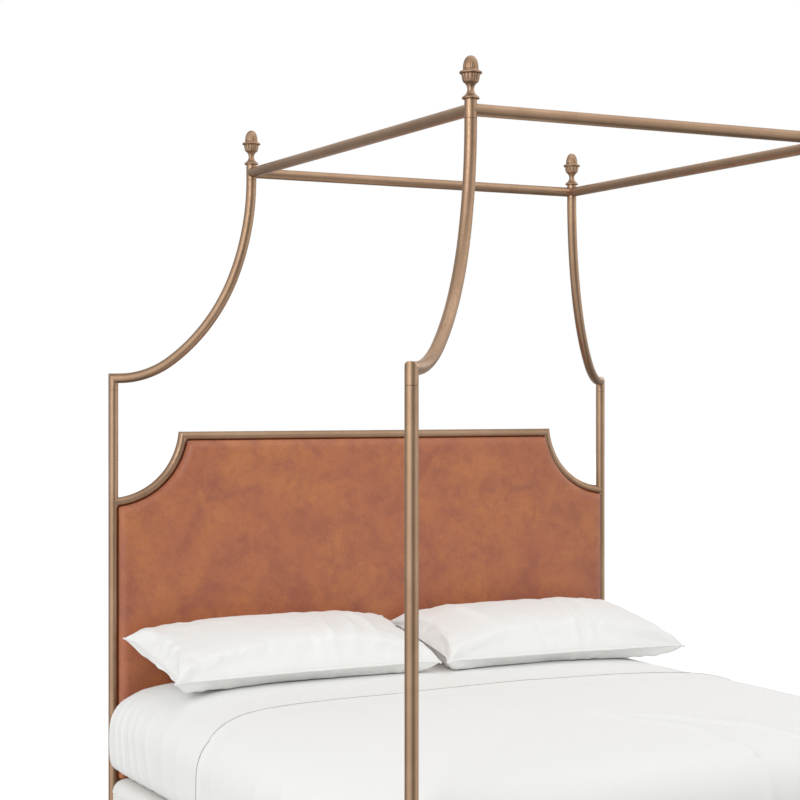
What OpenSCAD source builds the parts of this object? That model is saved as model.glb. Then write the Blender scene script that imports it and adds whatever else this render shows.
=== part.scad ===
// Four poster canopy bed in round metal tube, with a leather headboard, a slatted base and a made-up bed.
// Millimetres. Origin on the floor at the middle of the bed, +X to the right as seen from the foot end,
// +Y towards the head end, +Z up.

/* [Frame] */
// Distance between post centres, side to side
post_span_x = 1890; // [1500:10:2100]
// Distance between post centres, head to foot
post_span_y = 2116; // [1950:4:2300]
// Outside diameter of every frame tube
tube_d = 32; // [26:1:40]
// Wall thickness of every frame tube
tube_wall = 1.5; // [1.2:0.1:2.5]
// Height of the joint line where an arm plugs onto its post
post_top = 1582; // [1500:2:1800]
// Width of the shadow line at each plugged joint
seam_gap = 1; // [0.6:0.1:2]

/* [Canopy] */
// Height of the mitred bend above the joint line, to the tube's centre line
bend_rise = 39; // [38:1:60]
// Distance from each post to its canopy corner, along X and along Y alike
canopy_inset = 344; // [250:2:420]
// Height of the curved arm, from the bend's centre line to its upper end
arm_rise = 629; // [500:1:800]
// Straight run between the bend and the first curve
arm_lead = 23; // [20:1:60]
// Radius of the middle one of the three curves in an arm
arm_mid_radius = 607; // [560:1:660]
// Height of the coupler tube at each canopy corner
coupler_h = 47; // [44:1:60]
// Height of the canopy rails' centre line above the couplers' lower edge
rail_axis_rise = 21.5; // [20:0.5:26]

/* [Finials] */
// Height of a finial above its coupler
finial_h = 109; // [100:1:125]
// Radius of the finial's base disc
finial_disc_r = 22.5; // [20:0.5:25]
// Radius of the finial's neck
finial_neck_r = 8.6; // [7:0.1:11]
// Number of flutes round the finial's cup
flute_count = 12; // [8:1:16]

/* [Headboard] */
// Height of the headboard's top edge
headboard_top = 1445; // [1300:5:1540]
// Height of the headboard frame's bottom rail, to its centre line
headboard_bottom = 300; // [250:5:400]
// Radius of the scooped corners, to the tube's centre line
scoop_r = 252; // [200:2:300]
// Height of the scoops' centres above the headboard's top edge
scoop_centre_rise = 21.5; // [10:0.5:40]
// Distance from a post's axis outwards to the centre of its scoop
scoop_centre_out = 9; // [4:1:20]
// Thickness of the plywood panel
panel_t = 18; // [12:1:24]
// Thickness of the leather pad in front of the panel
pad_t = 34; // [25:1:45]

/* [Bed base] */
// Height of the slats' upper face, where the box spring rests
base_top = 195; // [180:1:240]
// Thickness of a slat
slat_t = 15; // [12:1:20]
// Width of a slat
slat_w = 70; // [50:1:90]
// Number of slats
slat_count = 13; // [9:1:16]
// Height of the steel angle rails
angle_h = 55; // [50:1:65]
// Width of the flange on the steel angle rails
angle_w = 45; // [40:1:60]
// Thickness of the steel angle rails
angle_t = 4; // [3:0.5:5]
// Width of the centre beam
beam_w = 40; // [30:1:50]
// Number of legs under the centre beam
leg_count = 3; // [2:1:4]

/* [Bedding] */
// Width of the mattress
mattress_w = 1970; // [1520:10:1980]
// Length of the mattress
mattress_l = 2030; // [1880:5:2050]
// Height of the mattress at its middle
mattress_h = 325; // [200:5:380]
// Height of the box spring
box_spring_h = 134.7; // [120:0.1:230]
// Gap between the mattress and the headboard's leather
head_gap = 13; // [5:1:30]
// Length of a pillow, side to side
pillow_l = 940; // [600:10:950]
// Depth of a pillow, front to back
pillow_d = 450; // [400:10:500]
// Height of a pillow
pillow_h = 163; // [120:1:190]
// Angle that the pillows lean back at
pillow_lean = 10.5; // [0:0.5:15]
// Distance from the head end of the mattress to the top hem of the flat sheet
sheet_setback = 790; // [650:10:900]

/* [Hidden] */

$fn = 64;
tiny = 0.01;
bulge_steps = 24;
// clearances
weld_gap = 0.1;       // between two tubes that are welded or bolted tight
slip_gap = 0.1;       // between an insert and the tube round it
thread_gap = 0.05;    // between a screw thread and its hole
butt_gap = 0.01;      // between the bends of an arm, which are butted and welded
turn_gap = 0.3;       // between pieces that move past each other
soft_gap = 0.3;       // between soft pieces that lie on each other

metal = [0.56, 0.45, 0.37];
dark_steel = [0.22, 0.20, 0.19];
zinc = [0.62, 0.62, 0.60];
leather = [0.62, 0.38, 0.26];
linen = [0.93, 0.92, 0.90];
birch = [0.80, 0.66, 0.47];

tube_r = tube_d / 2;
bore_r = tube_r - tube_wall;
post_x = post_span_x / 2;
post_y = post_span_y / 2;
cope_r = tube_r + weld_gap;

// levelling glides
glide_r = 15;
glide_h = 7;
glide_stem_r = 5;
glide_stem_h = 38;
socket_flange_h = 2;
socket_h = 25;
post_bottom = glide_h + socket_flange_h + 3;

// sleeve between a post and its arm
sleeve_r = bore_r - slip_gap;
sleeve_down = 60;
collar_r = tube_r - 0.8;
bend_z = post_top + bend_rise;
arm_base = post_top + seam_gap;
sleeve_up = bend_z - tube_r - arm_base - 1;

// The arm's centre line lies in the upright plane along the corner's diagonal. It leaves the bend level,
// ends upright, and turns through three tangent curves. The radii of the first curve and the last
// follow from the run and the rise.
arm_run = canopy_inset * sqrt(2);
arm_top = bend_z + arm_rise;
turn_1 = 34;
turn_2 = 68;
run_left = arm_run - arm_lead - arm_mid_radius * (sin(turn_2) - sin(turn_1));
rise_left = arm_rise - arm_mid_radius * (cos(turn_1) - cos(turn_2));
arm_det = sin(turn_1) * cos(turn_2) - (1 - sin(turn_2)) * (1 - cos(turn_1));
arm_low_radius = (run_left * cos(turn_2) - rise_left * (1 - sin(turn_2))) / arm_det;
arm_high_radius = (rise_left * sin(turn_1) - run_left * (1 - cos(turn_1))) / arm_det;

// canopy corners
corner_x = post_x - canopy_inset;
corner_y = post_y - canopy_inset;
coupler_base = arm_top + seam_gap;
coupler_top = coupler_base + coupler_h;
rail_z = coupler_base + rail_axis_rise;
spigot_r = bore_r - 0.5;
spigot_down = 20;
bolt_r = 4;
bolt_head_r = 7;
bolt_head_h = 4;
spigot_up = rail_axis_rise - bolt_head_r - 2;
bolt_seat = sqrt(bore_r * bore_r - bolt_head_r * bolt_head_r) - thread_gap;
bolt_l = 25;
insert_l = 25;
finial_base = coupler_top + turn_gap;
rod_up = 14;
rod_down = coupler_h + seam_gap + 15;

// headboard frame
top_rail_z = headboard_top - tube_r;
scoop_centre = [post_x + scoop_centre_out, headboard_top + scoop_centre_rise];
scoop_turn = acos((scoop_centre[1] - top_rail_z) / scoop_r);
scoop_corner = scoop_centre[0] - scoop_r * sin(scoop_turn);
scoop_start = asin(scoop_centre_out / scoop_r);
panel_gap = 0.5;
pad_gap = 1;
panel_back = post_y + panel_t / 2;
panel_front = post_y - panel_t / 2;
pad_front = panel_front - pad_t;
pad_edge_r = 20;
pad_skin = 4;
back_t = 2;
tab_w = 40;
tab_t = 2;
tab_reach = 34;
tab_root = 4.5;
screw_reach = 20;
tab_rows = [460, 820, 1130];
tab_inset = 105;
tab_columns = [for (k = [-3, -1, 1, 3]) k * (scoop_corner - tab_inset) / 3];
screw_r = 2;
screw_head_r = 4;
screw_l = 12;

// bed base
angle_top = base_top - slat_t;
angle_bottom = angle_top - angle_h;
rail_end_gap = tube_r + turn_gap;
bracket_l = 62;
bracket_t = 5;
bracket_edge = 3;
bracket_z = angle_bottom + angle_t + bracket_edge;
bracket_h = angle_h - 2 * (angle_t + bracket_edge);
bolt_edge = 11;
bolt_heights = [bracket_z + bolt_edge, bracket_z + bracket_h - bolt_edge];
bolt_in = bracket_l - 14;
bolt_hole_r = bolt_r + 0.3;
nut_r = 7.5;
nut_h = 6.5;
beam_bottom = angle_bottom + angle_t;
beam_h = angle_top - beam_bottom;
beam_wall = 2;
beam_half = post_y - angle_t / 2 - slip_gap;
slat_half = post_x + angle_t / 2;
slat_end_gap = 95;
slat_pitch = (post_span_y - 2 * slat_end_gap) / (slat_count - 1);
leg_r = 14;
leg_wall = 1.5;
leg_plate = 56;
leg_plate_t = 3;
leg_pitch = post_span_y / (leg_count + 1);
foot_pad_h = 8;
foot_pad_r = 16;
foot_stem_r = 5;
foot_stem_h = 34;
leg_bottom = 30;
leg_plug_h = 15;

// bedding
bedding_head = pad_front - head_gap;
bedding_y = bedding_head - mattress_l / 2;
box_spring_top = base_top + box_spring_h;
mattress_bottom = box_spring_top + soft_gap;
mattress_mid = mattress_bottom + 140;
mattress_top = mattress_bottom + mattress_h;
mattress_corner = 90;
mattress_blunt = 8;
mattress_end_blunt = 14;
mattress_soft = 2.6;
mattress_foot = 7;
casing_t = 18;
box_spring_edge = 34;
box_spring_foot_edge = 12;
box_spring_corner = 70;
box_spring_wall = 12;
sheet_t = 1;
fitted_top = mattress_top + soft_gap + sheet_t;
flat_top = fitted_top + soft_gap + sheet_t;
sheet_hem = bedding_head - sheet_setback;
fitted_under = 60;
flat_edge = 30;
case_t = 1;
pillow_low = pillow_h * 0.4;
pillow_wall = 5;
pillow_blunt = 4.5;
pillow_soft = 2.2;
pillow_foot = 2.2;
pillow_corner = 50;
pillow_gap = 6;
pillow_back_gap = 12;
pillow_x = (pillow_l + pillow_gap) / 2;
pillow_outline = [
    for (p = bulge(pillow_d / 2, pillow_low, pillow_h - pillow_low, pillow_blunt, pillow_soft, pillow_foot)) leant(p)
];
pillow_under = [for (p = pillow_outline) if (p[1] <= 0) p];
pillow_y = bedding_head - pillow_back_gap - max([for (p = pillow_outline) p[0]]);
pillow_reach = floor(pillow_d * 0.4);
pillow_dip = min([
    for (y = [-pillow_reach : pillow_reach])
        lookup(y, pillow_under) + max(
            crown_drop(pillow_x, mattress_w / 2, mattress_blunt),
            crown_drop(pillow_y + y - bedding_y, mattress_l / 2, mattress_end_blunt)
        )
]);
pillow_z = fitted_top + soft_gap - pillow_dip;

// How far the fitted sheet's top has fallen below its highest point, at a distance from the mattress's middle
function crown_drop(at, half, blunt) = fitted_top - mattress_mid - lookup(at, [
    for (p = bulge(half + soft_gap + sheet_t, 1, fitted_top - mattress_mid, blunt, mattress_soft, mattress_foot))
        if (p[1] >= 0) p
]);

function corner_turn(sx, sy) = atan2(-sy, -sx);

// A closed outline: one superellipse above the widest level and another below it, as points from the right round
function bulge(half_w, low, high, blunt, soft, foot) = [
    for (i = [0 : 2 * bulge_steps - 1])
        let (a = 180 * i / bulge_steps, c = cos(a), s = sin(a), h = s < 0 ? low : high, round = s < 0 ? foot : soft)
        [half_w * sign(c) * pow(abs(c), 2 / blunt), h * sign(s) * pow(abs(s), 2 / round)]
];

// A point of an upright outline along Y, leant back about its middle
function leant(p) = [
    p[0] * cos(pillow_lean) - p[1] * sin(pillow_lean),
    p[0] * sin(pillow_lean) + p[1] * cos(pillow_lean)
];

module tube(r, length, wall = tube_wall) {
    difference() {
        cylinder(r = r, h = length);
        translate([0, 0, -1]) cylinder(r = r - wall, h = length + 2);
    }
}

module at_post(sx, sy) {
    translate([sx * post_x, sy * post_y, 0]) rotate([0, 0, corner_turn(sx, sy)]) children();
}

module at_canopy_corner(sx, sy) {
    translate([sx * corner_x, sy * corner_y, 0]) children();
}

module at_each_post() {
    for (sx = [-1, 1], sy = [-1, 1]) at_post(sx, sy) children();
}

// A rectangle whose upper and lower corners are rounded by different radii
module round_slab(half_w, low, high, r_low, r_high) {
    translate([-half_w, low + r_low]) square([2 * half_w, high - low - r_low - r_high]);
    translate([r_low - half_w, low]) square([2 * (half_w - r_low), high - low]);
    for (s = [-1, 1]) {
        translate([s * (half_w - r_low), low + r_low]) circle(r = r_low);
        translate([s * (half_w - r_high), high - r_high]) circle(r = r_high);
    }
}

// ---- posts and arms ----

module post(sx, sy) {
    color(metal) at_post(sx, sy) translate([0, 0, post_bottom]) tube(tube_r, post_top - post_bottom);
}

module post_sleeves() {
    color(dark_steel) at_each_post() {
        translate([0, 0, post_top - sleeve_down]) cylinder(r = sleeve_r, h = sleeve_down);
        translate([0, 0, post_top]) cylinder(r = collar_r, h = seam_gap);
        translate([0, 0, arm_base]) cylinder(r = sleeve_r, h = sleeve_up);
    }
}

// A tube that starts along +X and turns up through an angle
module bend(radius, turn) {
    translate([0, 0, radius]) rotate([90, 0, 0]) rotate([0, 0, -90])
        rotate_extrude(angle = turn, $fn = 96) translate([radius, 0]) difference() {
            circle(r = tube_r);
            circle(r = bore_r);
        }
}

// Moves the children from a bend's start to its far end, a hair past it, so the next bend butts on cleanly
module after_bend(radius, turn) {
    translate([0, 0, radius]) rotate([0, -turn, 0]) translate([butt_gap, 0, -radius]) children();
}

module mitre_side(side) {
    block = 6 * tube_r;
    translate([0, 0, bend_z]) rotate([0, 45, 0])
        translate([-block / 2, -block / 2, side > 0 ? 0 : -block]) cube(block);
}

module canopy_arm(sx, sy) {
    color(metal) at_post(sx, sy) {
        intersection() {
            translate([0, 0, arm_base]) tube(tube_r, bend_z + 2 * tube_r - arm_base);
            mitre_side(-1);
        }
        intersection() {
            translate([-2 * tube_r, 0, bend_z]) rotate([0, 90, 0]) tube(tube_r, arm_lead + 2 * tube_r);
            mitre_side(1);
        }
        translate([arm_lead, 0, bend_z]) {
            bend(arm_low_radius, turn_1);
            after_bend(arm_low_radius, turn_1) {
                bend(arm_mid_radius, turn_2 - turn_1);
                after_bend(arm_mid_radius, turn_2 - turn_1) bend(arm_high_radius, 90 - turn_2);
            }
        }
    }
}

// ---- canopy corners ----

module arm_spigots() {
    color(dark_steel) for (sx = [-1, 1], sy = [-1, 1]) at_canopy_corner(sx, sy) difference() {
        union() {
            translate([0, 0, arm_top - spigot_down]) cylinder(r = spigot_r, h = spigot_down);
            translate([0, 0, arm_top]) cylinder(r = collar_r, h = seam_gap);
            translate([0, 0, coupler_base]) cylinder(r = sleeve_r, h = spigot_up);
        }
        translate([0, 0, arm_top - spigot_down - 1])
            cylinder(r = bolt_r + thread_gap, h = spigot_down + seam_gap + spigot_up + 2);
    }
}

module coupler(sx, sy) {
    color(metal) at_canopy_corner(sx, sy) difference() {
        translate([0, 0, coupler_base]) tube(tube_r, coupler_h);
        translate([0, 0, rail_z]) rotate([0, -sx * 90, 0]) cylinder(r = bolt_r + 0.3, h = 2 * tube_r);
        translate([0, 0, rail_z]) rotate([sy * 90, 0, 0]) cylinder(r = bolt_r + 0.3, h = 2 * tube_r);
    }
}

// A piece along the line between two canopy corners, cut round both couplers and mitred to its neighbours;
// inner is 1 where the canopy's middle lies towards +Y of the piece, and -1 where it lies towards -Y
module between_couplers(half, inner) {
    reach = 2 * tube_r;
    end = half - weld_gap;
    intersection() {
        difference() {
            children();
            for (s = [-1, 1]) translate([s * half, 0, coupler_base - 10])
                cylinder(r = cope_r, h = coupler_h + 20);
        }
        translate([0, 0, rail_z - reach]) linear_extrude(2 * reach) polygon([
            [-end - reach, -inner * reach], [end + reach, -inner * reach],
            [end - reach, inner * reach], [reach - end, inner * reach]
        ]);
    }
}

module canopy_rail(half, inner) {
    color(metal) between_couplers(half, inner)
        translate([-half, 0, rail_z]) rotate([0, 90, 0]) tube(tube_r, 2 * half);
}

module side_canopy_rail(side) {
    translate([side * corner_x, 0, 0]) rotate([0, 0, 90]) canopy_rail(corner_y, side);
}

module end_canopy_rail(end) {
    translate([0, end * corner_y, 0]) canopy_rail(corner_x, -end);
}

// Runs the children once along each canopy rail; $half is the distance to its corners, $inner its inner side
module along_each_rail() {
    for (s = [-1, 1]) {
        translate([0, s * corner_y, 0]) {
            $half = corner_x;
            $inner = -s;
            children();
        }
        translate([s * corner_x, 0, 0]) rotate([0, 0, 90]) {
            $half = corner_y;
            $inner = s;
            children();
        }
    }
}

module canopy_rail_inserts() {
    color(dark_steel) along_each_rail() between_couplers($half, $inner) for (s = [-1, 1])
        translate([s * $half, 0, rail_z]) rotate([0, -s * 90, 0]) difference() {
            cylinder(r = sleeve_r, h = tube_r + insert_l);
            cylinder(r = bolt_r + thread_gap, h = tube_r + insert_l + 1);
        }
}

// One button-head bolt, its seat at the origin and its thread along +Z
module bolt() {
    translate([0, 0, -bolt_head_h]) cylinder(r1 = bolt_head_r - 2, r2 = bolt_head_r, h = bolt_head_h);
    cylinder(r = bolt_r, h = bolt_l);
}

module canopy_bolts() {
    along_each_rail() for (s = [-1, 1])
        translate([s * $half, 0, rail_z]) rotate([0, -s * 90, 0]) translate([0, 0, bolt_seat]) bolt();
}

// ---- finials ----

module finial_outline() {
    cove_r = 20;
    cove_z = 25;
    cup_z = 45.5;
    rim_z = 66.6;
    rim_r = 3.3;
    rim_out = 25.6;
    dome_z = 76;
    dome_w = 19.6;
    dome_h = finial_h - dome_z;
    dome_steps = 14;
    translate([0, 0]) square([finial_disc_r - 2.5, 5]);
    translate([0, 0]) square([finial_disc_r, 2.5]);
    translate([finial_disc_r - 2.5, 2.5]) circle(r = 2.5);
    difference() {
        translate([0, 4]) square([finial_disc_r - 1.5, cup_z - 4]);
        translate([finial_neck_r + cove_r, cove_z]) circle(r = cove_r);
    }
    polygon([[0, cup_z - 1], [finial_disc_r - 2.1, cup_z - 1], [finial_disc_r - 2.1, cup_z], [23.8, rim_z - 3],
        [23.8, rim_z], [0, rim_z]]);
    translate([0, rim_z - rim_r]) square([rim_out, 2 * rim_r]);
    translate([rim_out, rim_z]) circle(r = rim_r);
    translate([0, rim_z]) square([dome_w + 2.4, 5]);
    translate([0, rim_z]) square([dome_w, dome_z - rim_z]);
    polygon(concat([[0, dome_z - 1], [dome_w, dome_z - 1]], [
        for (i = [0 : dome_steps])
            let (a = 90 * i / dome_steps)
            [dome_w * pow(cos(a), 0.9), dome_z + dome_h * sin(a)]
    ]));
}

module finial(sx, sy) {
    flute_r = 1.7;
    flute_lean = 9;
    color(metal) at_canopy_corner(sx, sy) translate([0, 0, finial_base]) difference() {
        rotate_extrude($fn = 96) finial_outline();
        translate([0, 0, -1]) cylinder(r = bolt_r + thread_gap, h = rod_up + 2);
        for (i = [0 : flute_count - 1]) rotate([0, 0, (i + 0.5) * 360 / flute_count])
            translate([finial_disc_r - 0.9, 0, 46.5]) rotate([0, flute_lean, 0])
                cylinder(r = flute_r, h = 15.5, $fn = 24);
    }
}

module finial_rod(sx, sy) {
    color(zinc) at_canopy_corner(sx, sy) translate([0, 0, finial_base - turn_gap - rod_down])
        cylinder(r = bolt_r, h = rod_down + turn_gap + rod_up);
}

// ---- levelling glides ----

module glide_sockets() {
    color(dark_steel) at_each_post() difference() {
        union() {
            translate([0, 0, post_bottom - socket_flange_h]) cylinder(r = tube_r, h = socket_flange_h);
            translate([0, 0, post_bottom]) cylinder(r = sleeve_r, h = socket_h);
        }
        translate([0, 0, post_bottom - socket_flange_h - 1])
            cylinder(r = glide_stem_r + thread_gap, h = socket_h + socket_flange_h + 2);
    }
}

module glide(sx, sy) {
    color(dark_steel) at_post(sx, sy) {
        cylinder(r1 = glide_r - 1.5, r2 = glide_r, h = 2);
        translate([0, 0, 2]) cylinder(r = glide_r, h = glide_h - 2);
        translate([0, 0, glide_h]) cylinder(r = glide_stem_r, h = glide_stem_h);
    }
}

// ---- headboard ----

module cut_by_head_posts() {
    difference() {
        children();
        for (s = [-1, 1]) translate([s * post_x, post_y, 0]) cylinder(r = cope_r, h = post_top);
    }
}

// A block on one side of the mitre at the headboard's upper right corner: 1 is the scoop's, -1 the rail's
module scoop_mitre_block(side) {
    block = 8 * tube_r;
    translate([scoop_corner, post_y, top_rail_z]) rotate([0, scoop_turn / 2, 0])
        translate([side > 0 ? 0 : -block, -block / 2, -block / 2]) cube(block);
}

module right_scoop() {
    past_mitre = 10;
    cut_by_head_posts() difference() {
        translate([post_x, post_y, scoop_centre[1] - scoop_r * cos(scoop_start)])
            rotate([0, 0, 180]) rotate([0, -scoop_start, 0])
            bend(scoop_r, scoop_turn + past_mitre - scoop_start);
        scoop_mitre_block(-1);
    }
}

module headboard_scoop(side) {
    color(metal) if (side > 0) right_scoop(); else mirror([1, 0, 0]) right_scoop();
}

module headboard_top_rail() {
    color(metal) difference() {
        translate([-scoop_corner - 2 * tube_r, post_y, top_rail_z]) rotate([0, 90, 0])
            tube(tube_r, 2 * scoop_corner + 4 * tube_r);
        scoop_mitre_block(1);
        mirror([1, 0, 0]) scoop_mitre_block(1);
    }
}

module headboard_bottom_rail() {
    color(metal) cut_by_head_posts() translate([-post_x, post_y, headboard_bottom])
        rotate([0, 90, 0]) tube(tube_r, post_span_x);
}

// The area inside the headboard's tubes, drawn in the upright plane, kept a gap away from them
module headboard_area(gap) {
    low = headboard_bottom + tube_r + gap;
    high = top_rail_z - tube_r - gap;
    half = post_x - tube_r - gap;
    difference() {
        translate([-half, low]) square([2 * half, high - low]);
        for (s = [-1, 1]) translate([s * scoop_centre[0], scoop_centre[1]])
            circle(r = scoop_r + tube_r + gap, $fn = 180);
    }
}

module headboard_slab(gap, front, back) {
    translate([0, back, 0]) rotate([90, 0, 0]) linear_extrude(back - front) headboard_area(gap);
}

module headboard_panel() {
    color(birch) difference() {
        headboard_slab(panel_gap, panel_front, panel_back);
        screw_holes();
    }
}

// The pad is a leather shell. Its front edge is rounded in a few steps, each one further in than the last
module headboard_pad() {
    steps = 4;
    color(leather) difference() {
        union() {
            headboard_slab(pad_gap, pad_front + pad_edge_r, panel_front - tiny);
            for (i = [0 : steps - 1])
                let (from = 90 * i / steps, to = 90 * (i + 1) / steps)
                headboard_slab(pad_gap + pad_edge_r * (1 - cos((from + to) / 2)),
                    pad_front + pad_edge_r * (1 - sin(to)), pad_front + pad_edge_r);
        }
        headboard_slab(pad_gap + pad_edge_r, pad_front + pad_skin, panel_front - tiny - pad_skin);
    }
}

module headboard_back() {
    color(dark_steel) difference() {
        headboard_slab(panel_gap + 2, panel_back + tiny, panel_back + back_t);
        screw_holes();
    }
}

// Runs the children at each tab, with +X pointing away from the tube that the tab is welded to
module at_each_tab() {
    for (s = [-1, 1]) for (z = tab_rows)
        translate([s * (post_x - tube_r), panel_back + back_t, z]) rotate([0, s > 0 ? 180 : 0, 0]) children();
    for (x = tab_columns) {
        translate([x, panel_back + back_t, headboard_bottom + tube_r]) rotate([0, -90, 0]) children();
        translate([x, panel_back + back_t, top_rail_z - tube_r]) rotate([0, 90, 0]) children();
    }
}

module screw_holes() {
    at_each_tab() translate([screw_reach, 1, 0]) rotate([90, 0, 0])
        cylinder(r = screw_r + thread_gap, h = screw_l + 2, $fn = 24);
}

module headboard_tabs() {
    color(metal) at_each_tab() difference() {
        translate([-tab_root, weld_gap / 2, -tab_w / 2]) cube([tab_reach + tab_root, tab_t, tab_w]);
        translate([screw_reach, -1, 0]) rotate([-90, 0, 0]) cylinder(r = screw_r + 0.3, h = tab_t + 2, $fn = 24);
        translate([-tube_r, -panel_t / 2 - back_t, -tab_w]) cylinder(r = cope_r, h = 2 * tab_w);
    }
}

module headboard_screws() {
    color(zinc) at_each_tab() translate([screw_reach, 0, 0]) rotate([-90, 0, 0]) {
        translate([0, 0, tab_t + weld_gap / 2]) cylinder(r1 = screw_head_r, r2 = screw_head_r - 1.5, h = 2, $fn = 24);
        translate([0, 0, tab_t + weld_gap / 2 - screw_l]) cylinder(r = screw_r, h = screw_l, $fn = 24);
    }
}

// ---- bed base ----

// Puts the children at one end of a base rail: +X runs along the rail from its post,
// and $in is the sign of Y that points to the inside of the bed
module at_rail_end(sx, sy, side) {
    translate([sx * post_x, sy * post_y, 0]) rotate([0, 0, side ? -90 * sy : 90 + 90 * sx]) {
        $in = side ? -sx * sy : sx * sy;
        children();
    }
}

module at_each_rail_end() {
    for (sx = [-1, 1], sy = [-1, 1], side = [true, false]) at_rail_end(sx, sy, side) children();
}

// Puts the children on each bolt's axis at one rail end, with +Z pointing to the inside of the bed
module at_rail_bolts() {
    for (z = bolt_heights) translate([bolt_in, 0, z]) rotate([-90 * $in, 0, 0]) children();
}

module rail_bolt_holes() {
    at_each_rail_end() at_rail_bolts() translate([0, 0, -angle_t]) cylinder(r = bolt_hole_r, h = 2 * angle_t);
}

// A steel angle from end to end along X, its upright leg on the X axis and its flange towards $in
module angle_rail(half, flange_z) {
    translate([-half, -angle_t / 2, angle_bottom]) cube([2 * half, angle_t, angle_h]);
    translate([-half, $in > 0 ? -angle_t / 2 : angle_t / 2 - angle_w, flange_z])
        cube([2 * half, angle_w, angle_t]);
}

module side_rail(side) {
    $in = side;
    color(metal) difference() {
        translate([side * post_x, 0, 0]) rotate([0, 0, 90])
            angle_rail(post_y - rail_end_gap, angle_top - angle_t);
        rail_bolt_holes();
    }
}

module end_rail(end) {
    $in = -end;
    color(metal) difference() {
        translate([0, end * post_y, 0]) angle_rail(post_x - rail_end_gap, angle_bottom);
        rail_bolt_holes();
    }
}

module rail_brackets() {
    color(metal) at_each_rail_end() difference() {
        translate([0, $in > 0 ? angle_t / 2 : -angle_t / 2 - bracket_t, bracket_z])
            cube([bracket_l, bracket_t, bracket_h]);
        cylinder(r = cope_r, h = base_top);
        at_rail_bolts() cylinder(r = bolt_r + thread_gap, h = 2 * bracket_t + angle_t);
    }
}

module frame_bolts() {
    color(zinc) {
        canopy_bolts();
        at_each_rail_end() at_rail_bolts() translate([0, 0, -angle_t / 2]) bolt();
    }
}

module rail_nuts() {
    color(zinc) at_each_rail_end() at_rail_bolts() translate([0, 0, angle_t / 2 + bracket_t]) difference() {
        cylinder(r = nut_r, h = nut_h, $fn = 6);
        translate([0, 0, -1]) cylinder(r = bolt_r + thread_gap, h = nut_h + 2);
    }
}

module centre_beam() {
    color(dark_steel) difference() {
        translate([-beam_w / 2, -beam_half, beam_bottom]) cube([beam_w, 2 * beam_half, beam_h]);
        translate([beam_wall - beam_w / 2, -beam_half - 1, beam_bottom + beam_wall])
            cube([beam_w - 2 * beam_wall, 2 * beam_half + 2, beam_h - 2 * beam_wall]);
    }
}

module at_each_leg() {
    for (i = [1 : leg_count]) translate([0, i * leg_pitch - post_y, 0]) children();
}

module centre_legs() {
    color(dark_steel) at_each_leg() {
        translate([-leg_plate / 2, -leg_plate / 2, beam_bottom - leg_plate_t])
            cube([leg_plate, leg_plate, leg_plate_t]);
        translate([0, 0, leg_bottom]) tube(leg_r, beam_bottom - leg_plate_t - leg_bottom, leg_wall);
        translate([0, 0, leg_bottom]) tube(leg_r - tiny, leg_plug_h, leg_r - tiny - foot_stem_r - thread_gap);
    }
}

module centre_feet() {
    color(dark_steel) at_each_leg() {
        cylinder(r1 = foot_pad_r - 1.5, r2 = foot_pad_r, h = 2);
        translate([0, 0, 2]) cylinder(r = foot_pad_r, h = foot_pad_h - 2);
        translate([0, 0, foot_pad_h]) cylinder(r = foot_stem_r, h = foot_stem_h);
    }
}

module slats() {
    color(birch) for (i = [0 : slat_count - 1])
        translate([-slat_half, slat_end_gap - post_y + i * slat_pitch - slat_w / 2, angle_top])
            cube([2 * slat_half, slat_w, slat_t]);
}

// ---- bedding ----

module plan_corner_block(half_w, half_l, corner, low, high) {
    translate([0, 0, low]) linear_extrude(high - low)
        round_slab(half_w, -half_l, half_l, corner, corner);
}

// A soft block that bulges all round; blunt holds its squareness along X and along Y
module soft_block(half_w, half_l, low, high, corner, blunt, soft, foot) {
    intersection() {
        rotate([90, 0, 0]) linear_extrude(2 * half_l + 2, center = true)
            polygon(bulge(half_w, low, high, blunt[0], soft, foot));
        rotate([90, 0, 90]) linear_extrude(2 * half_w + 2, center = true)
            polygon(bulge(half_l, low, high, blunt[1], soft, foot));
        plan_corner_block(half_w, half_l, corner, -low - 1, high + 1);
    }
}

module mattress_block(grow) {
    translate([0, bedding_y, mattress_mid]) soft_block(mattress_w / 2 + grow, mattress_l / 2 + grow,
        mattress_mid - mattress_bottom + grow, mattress_top - mattress_mid + grow,
        mattress_corner + grow, [mattress_blunt, mattress_end_blunt], mattress_soft, mattress_foot);
}

module box_spring_block(shrink) {
    low = base_top + shrink;
    high = box_spring_top - shrink;
    half_w = mattress_w / 2 - shrink;
    half_l = mattress_l / 2 - shrink;
    edge = box_spring_edge - shrink;
    foot_edge = max(box_spring_foot_edge - shrink, 1);
    translate([0, bedding_y, 0]) intersection() {
        rotate([90, 0, 0]) linear_extrude(2 * half_l + 2, center = true)
            round_slab(half_w, low, high, foot_edge, edge);
        rotate([90, 0, 90]) linear_extrude(2 * half_w + 2, center = true)
            round_slab(half_l, low, high, foot_edge, edge);
        plan_corner_block(half_w, half_l, box_spring_corner - shrink, low - 1, high + 1);
    }
}

module box_spring() {
    color(linen) difference() {
        box_spring_block(0);
        box_spring_block(box_spring_wall);
    }
}

module mattress() {
    color(linen) difference() {
        mattress_block(0);
        mattress_block(-casing_t);
    }
}

module fitted_sheet() {
    color(linen) difference() {
        mattress_block(soft_gap + sheet_t);
        mattress_block(soft_gap);
        translate([fitted_under - mattress_w / 2, bedding_y + fitted_under - mattress_l / 2, base_top])
            cube([mattress_w - 2 * fitted_under, mattress_l - 2 * fitted_under, mattress_mid - base_top]);
    }
}

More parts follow.
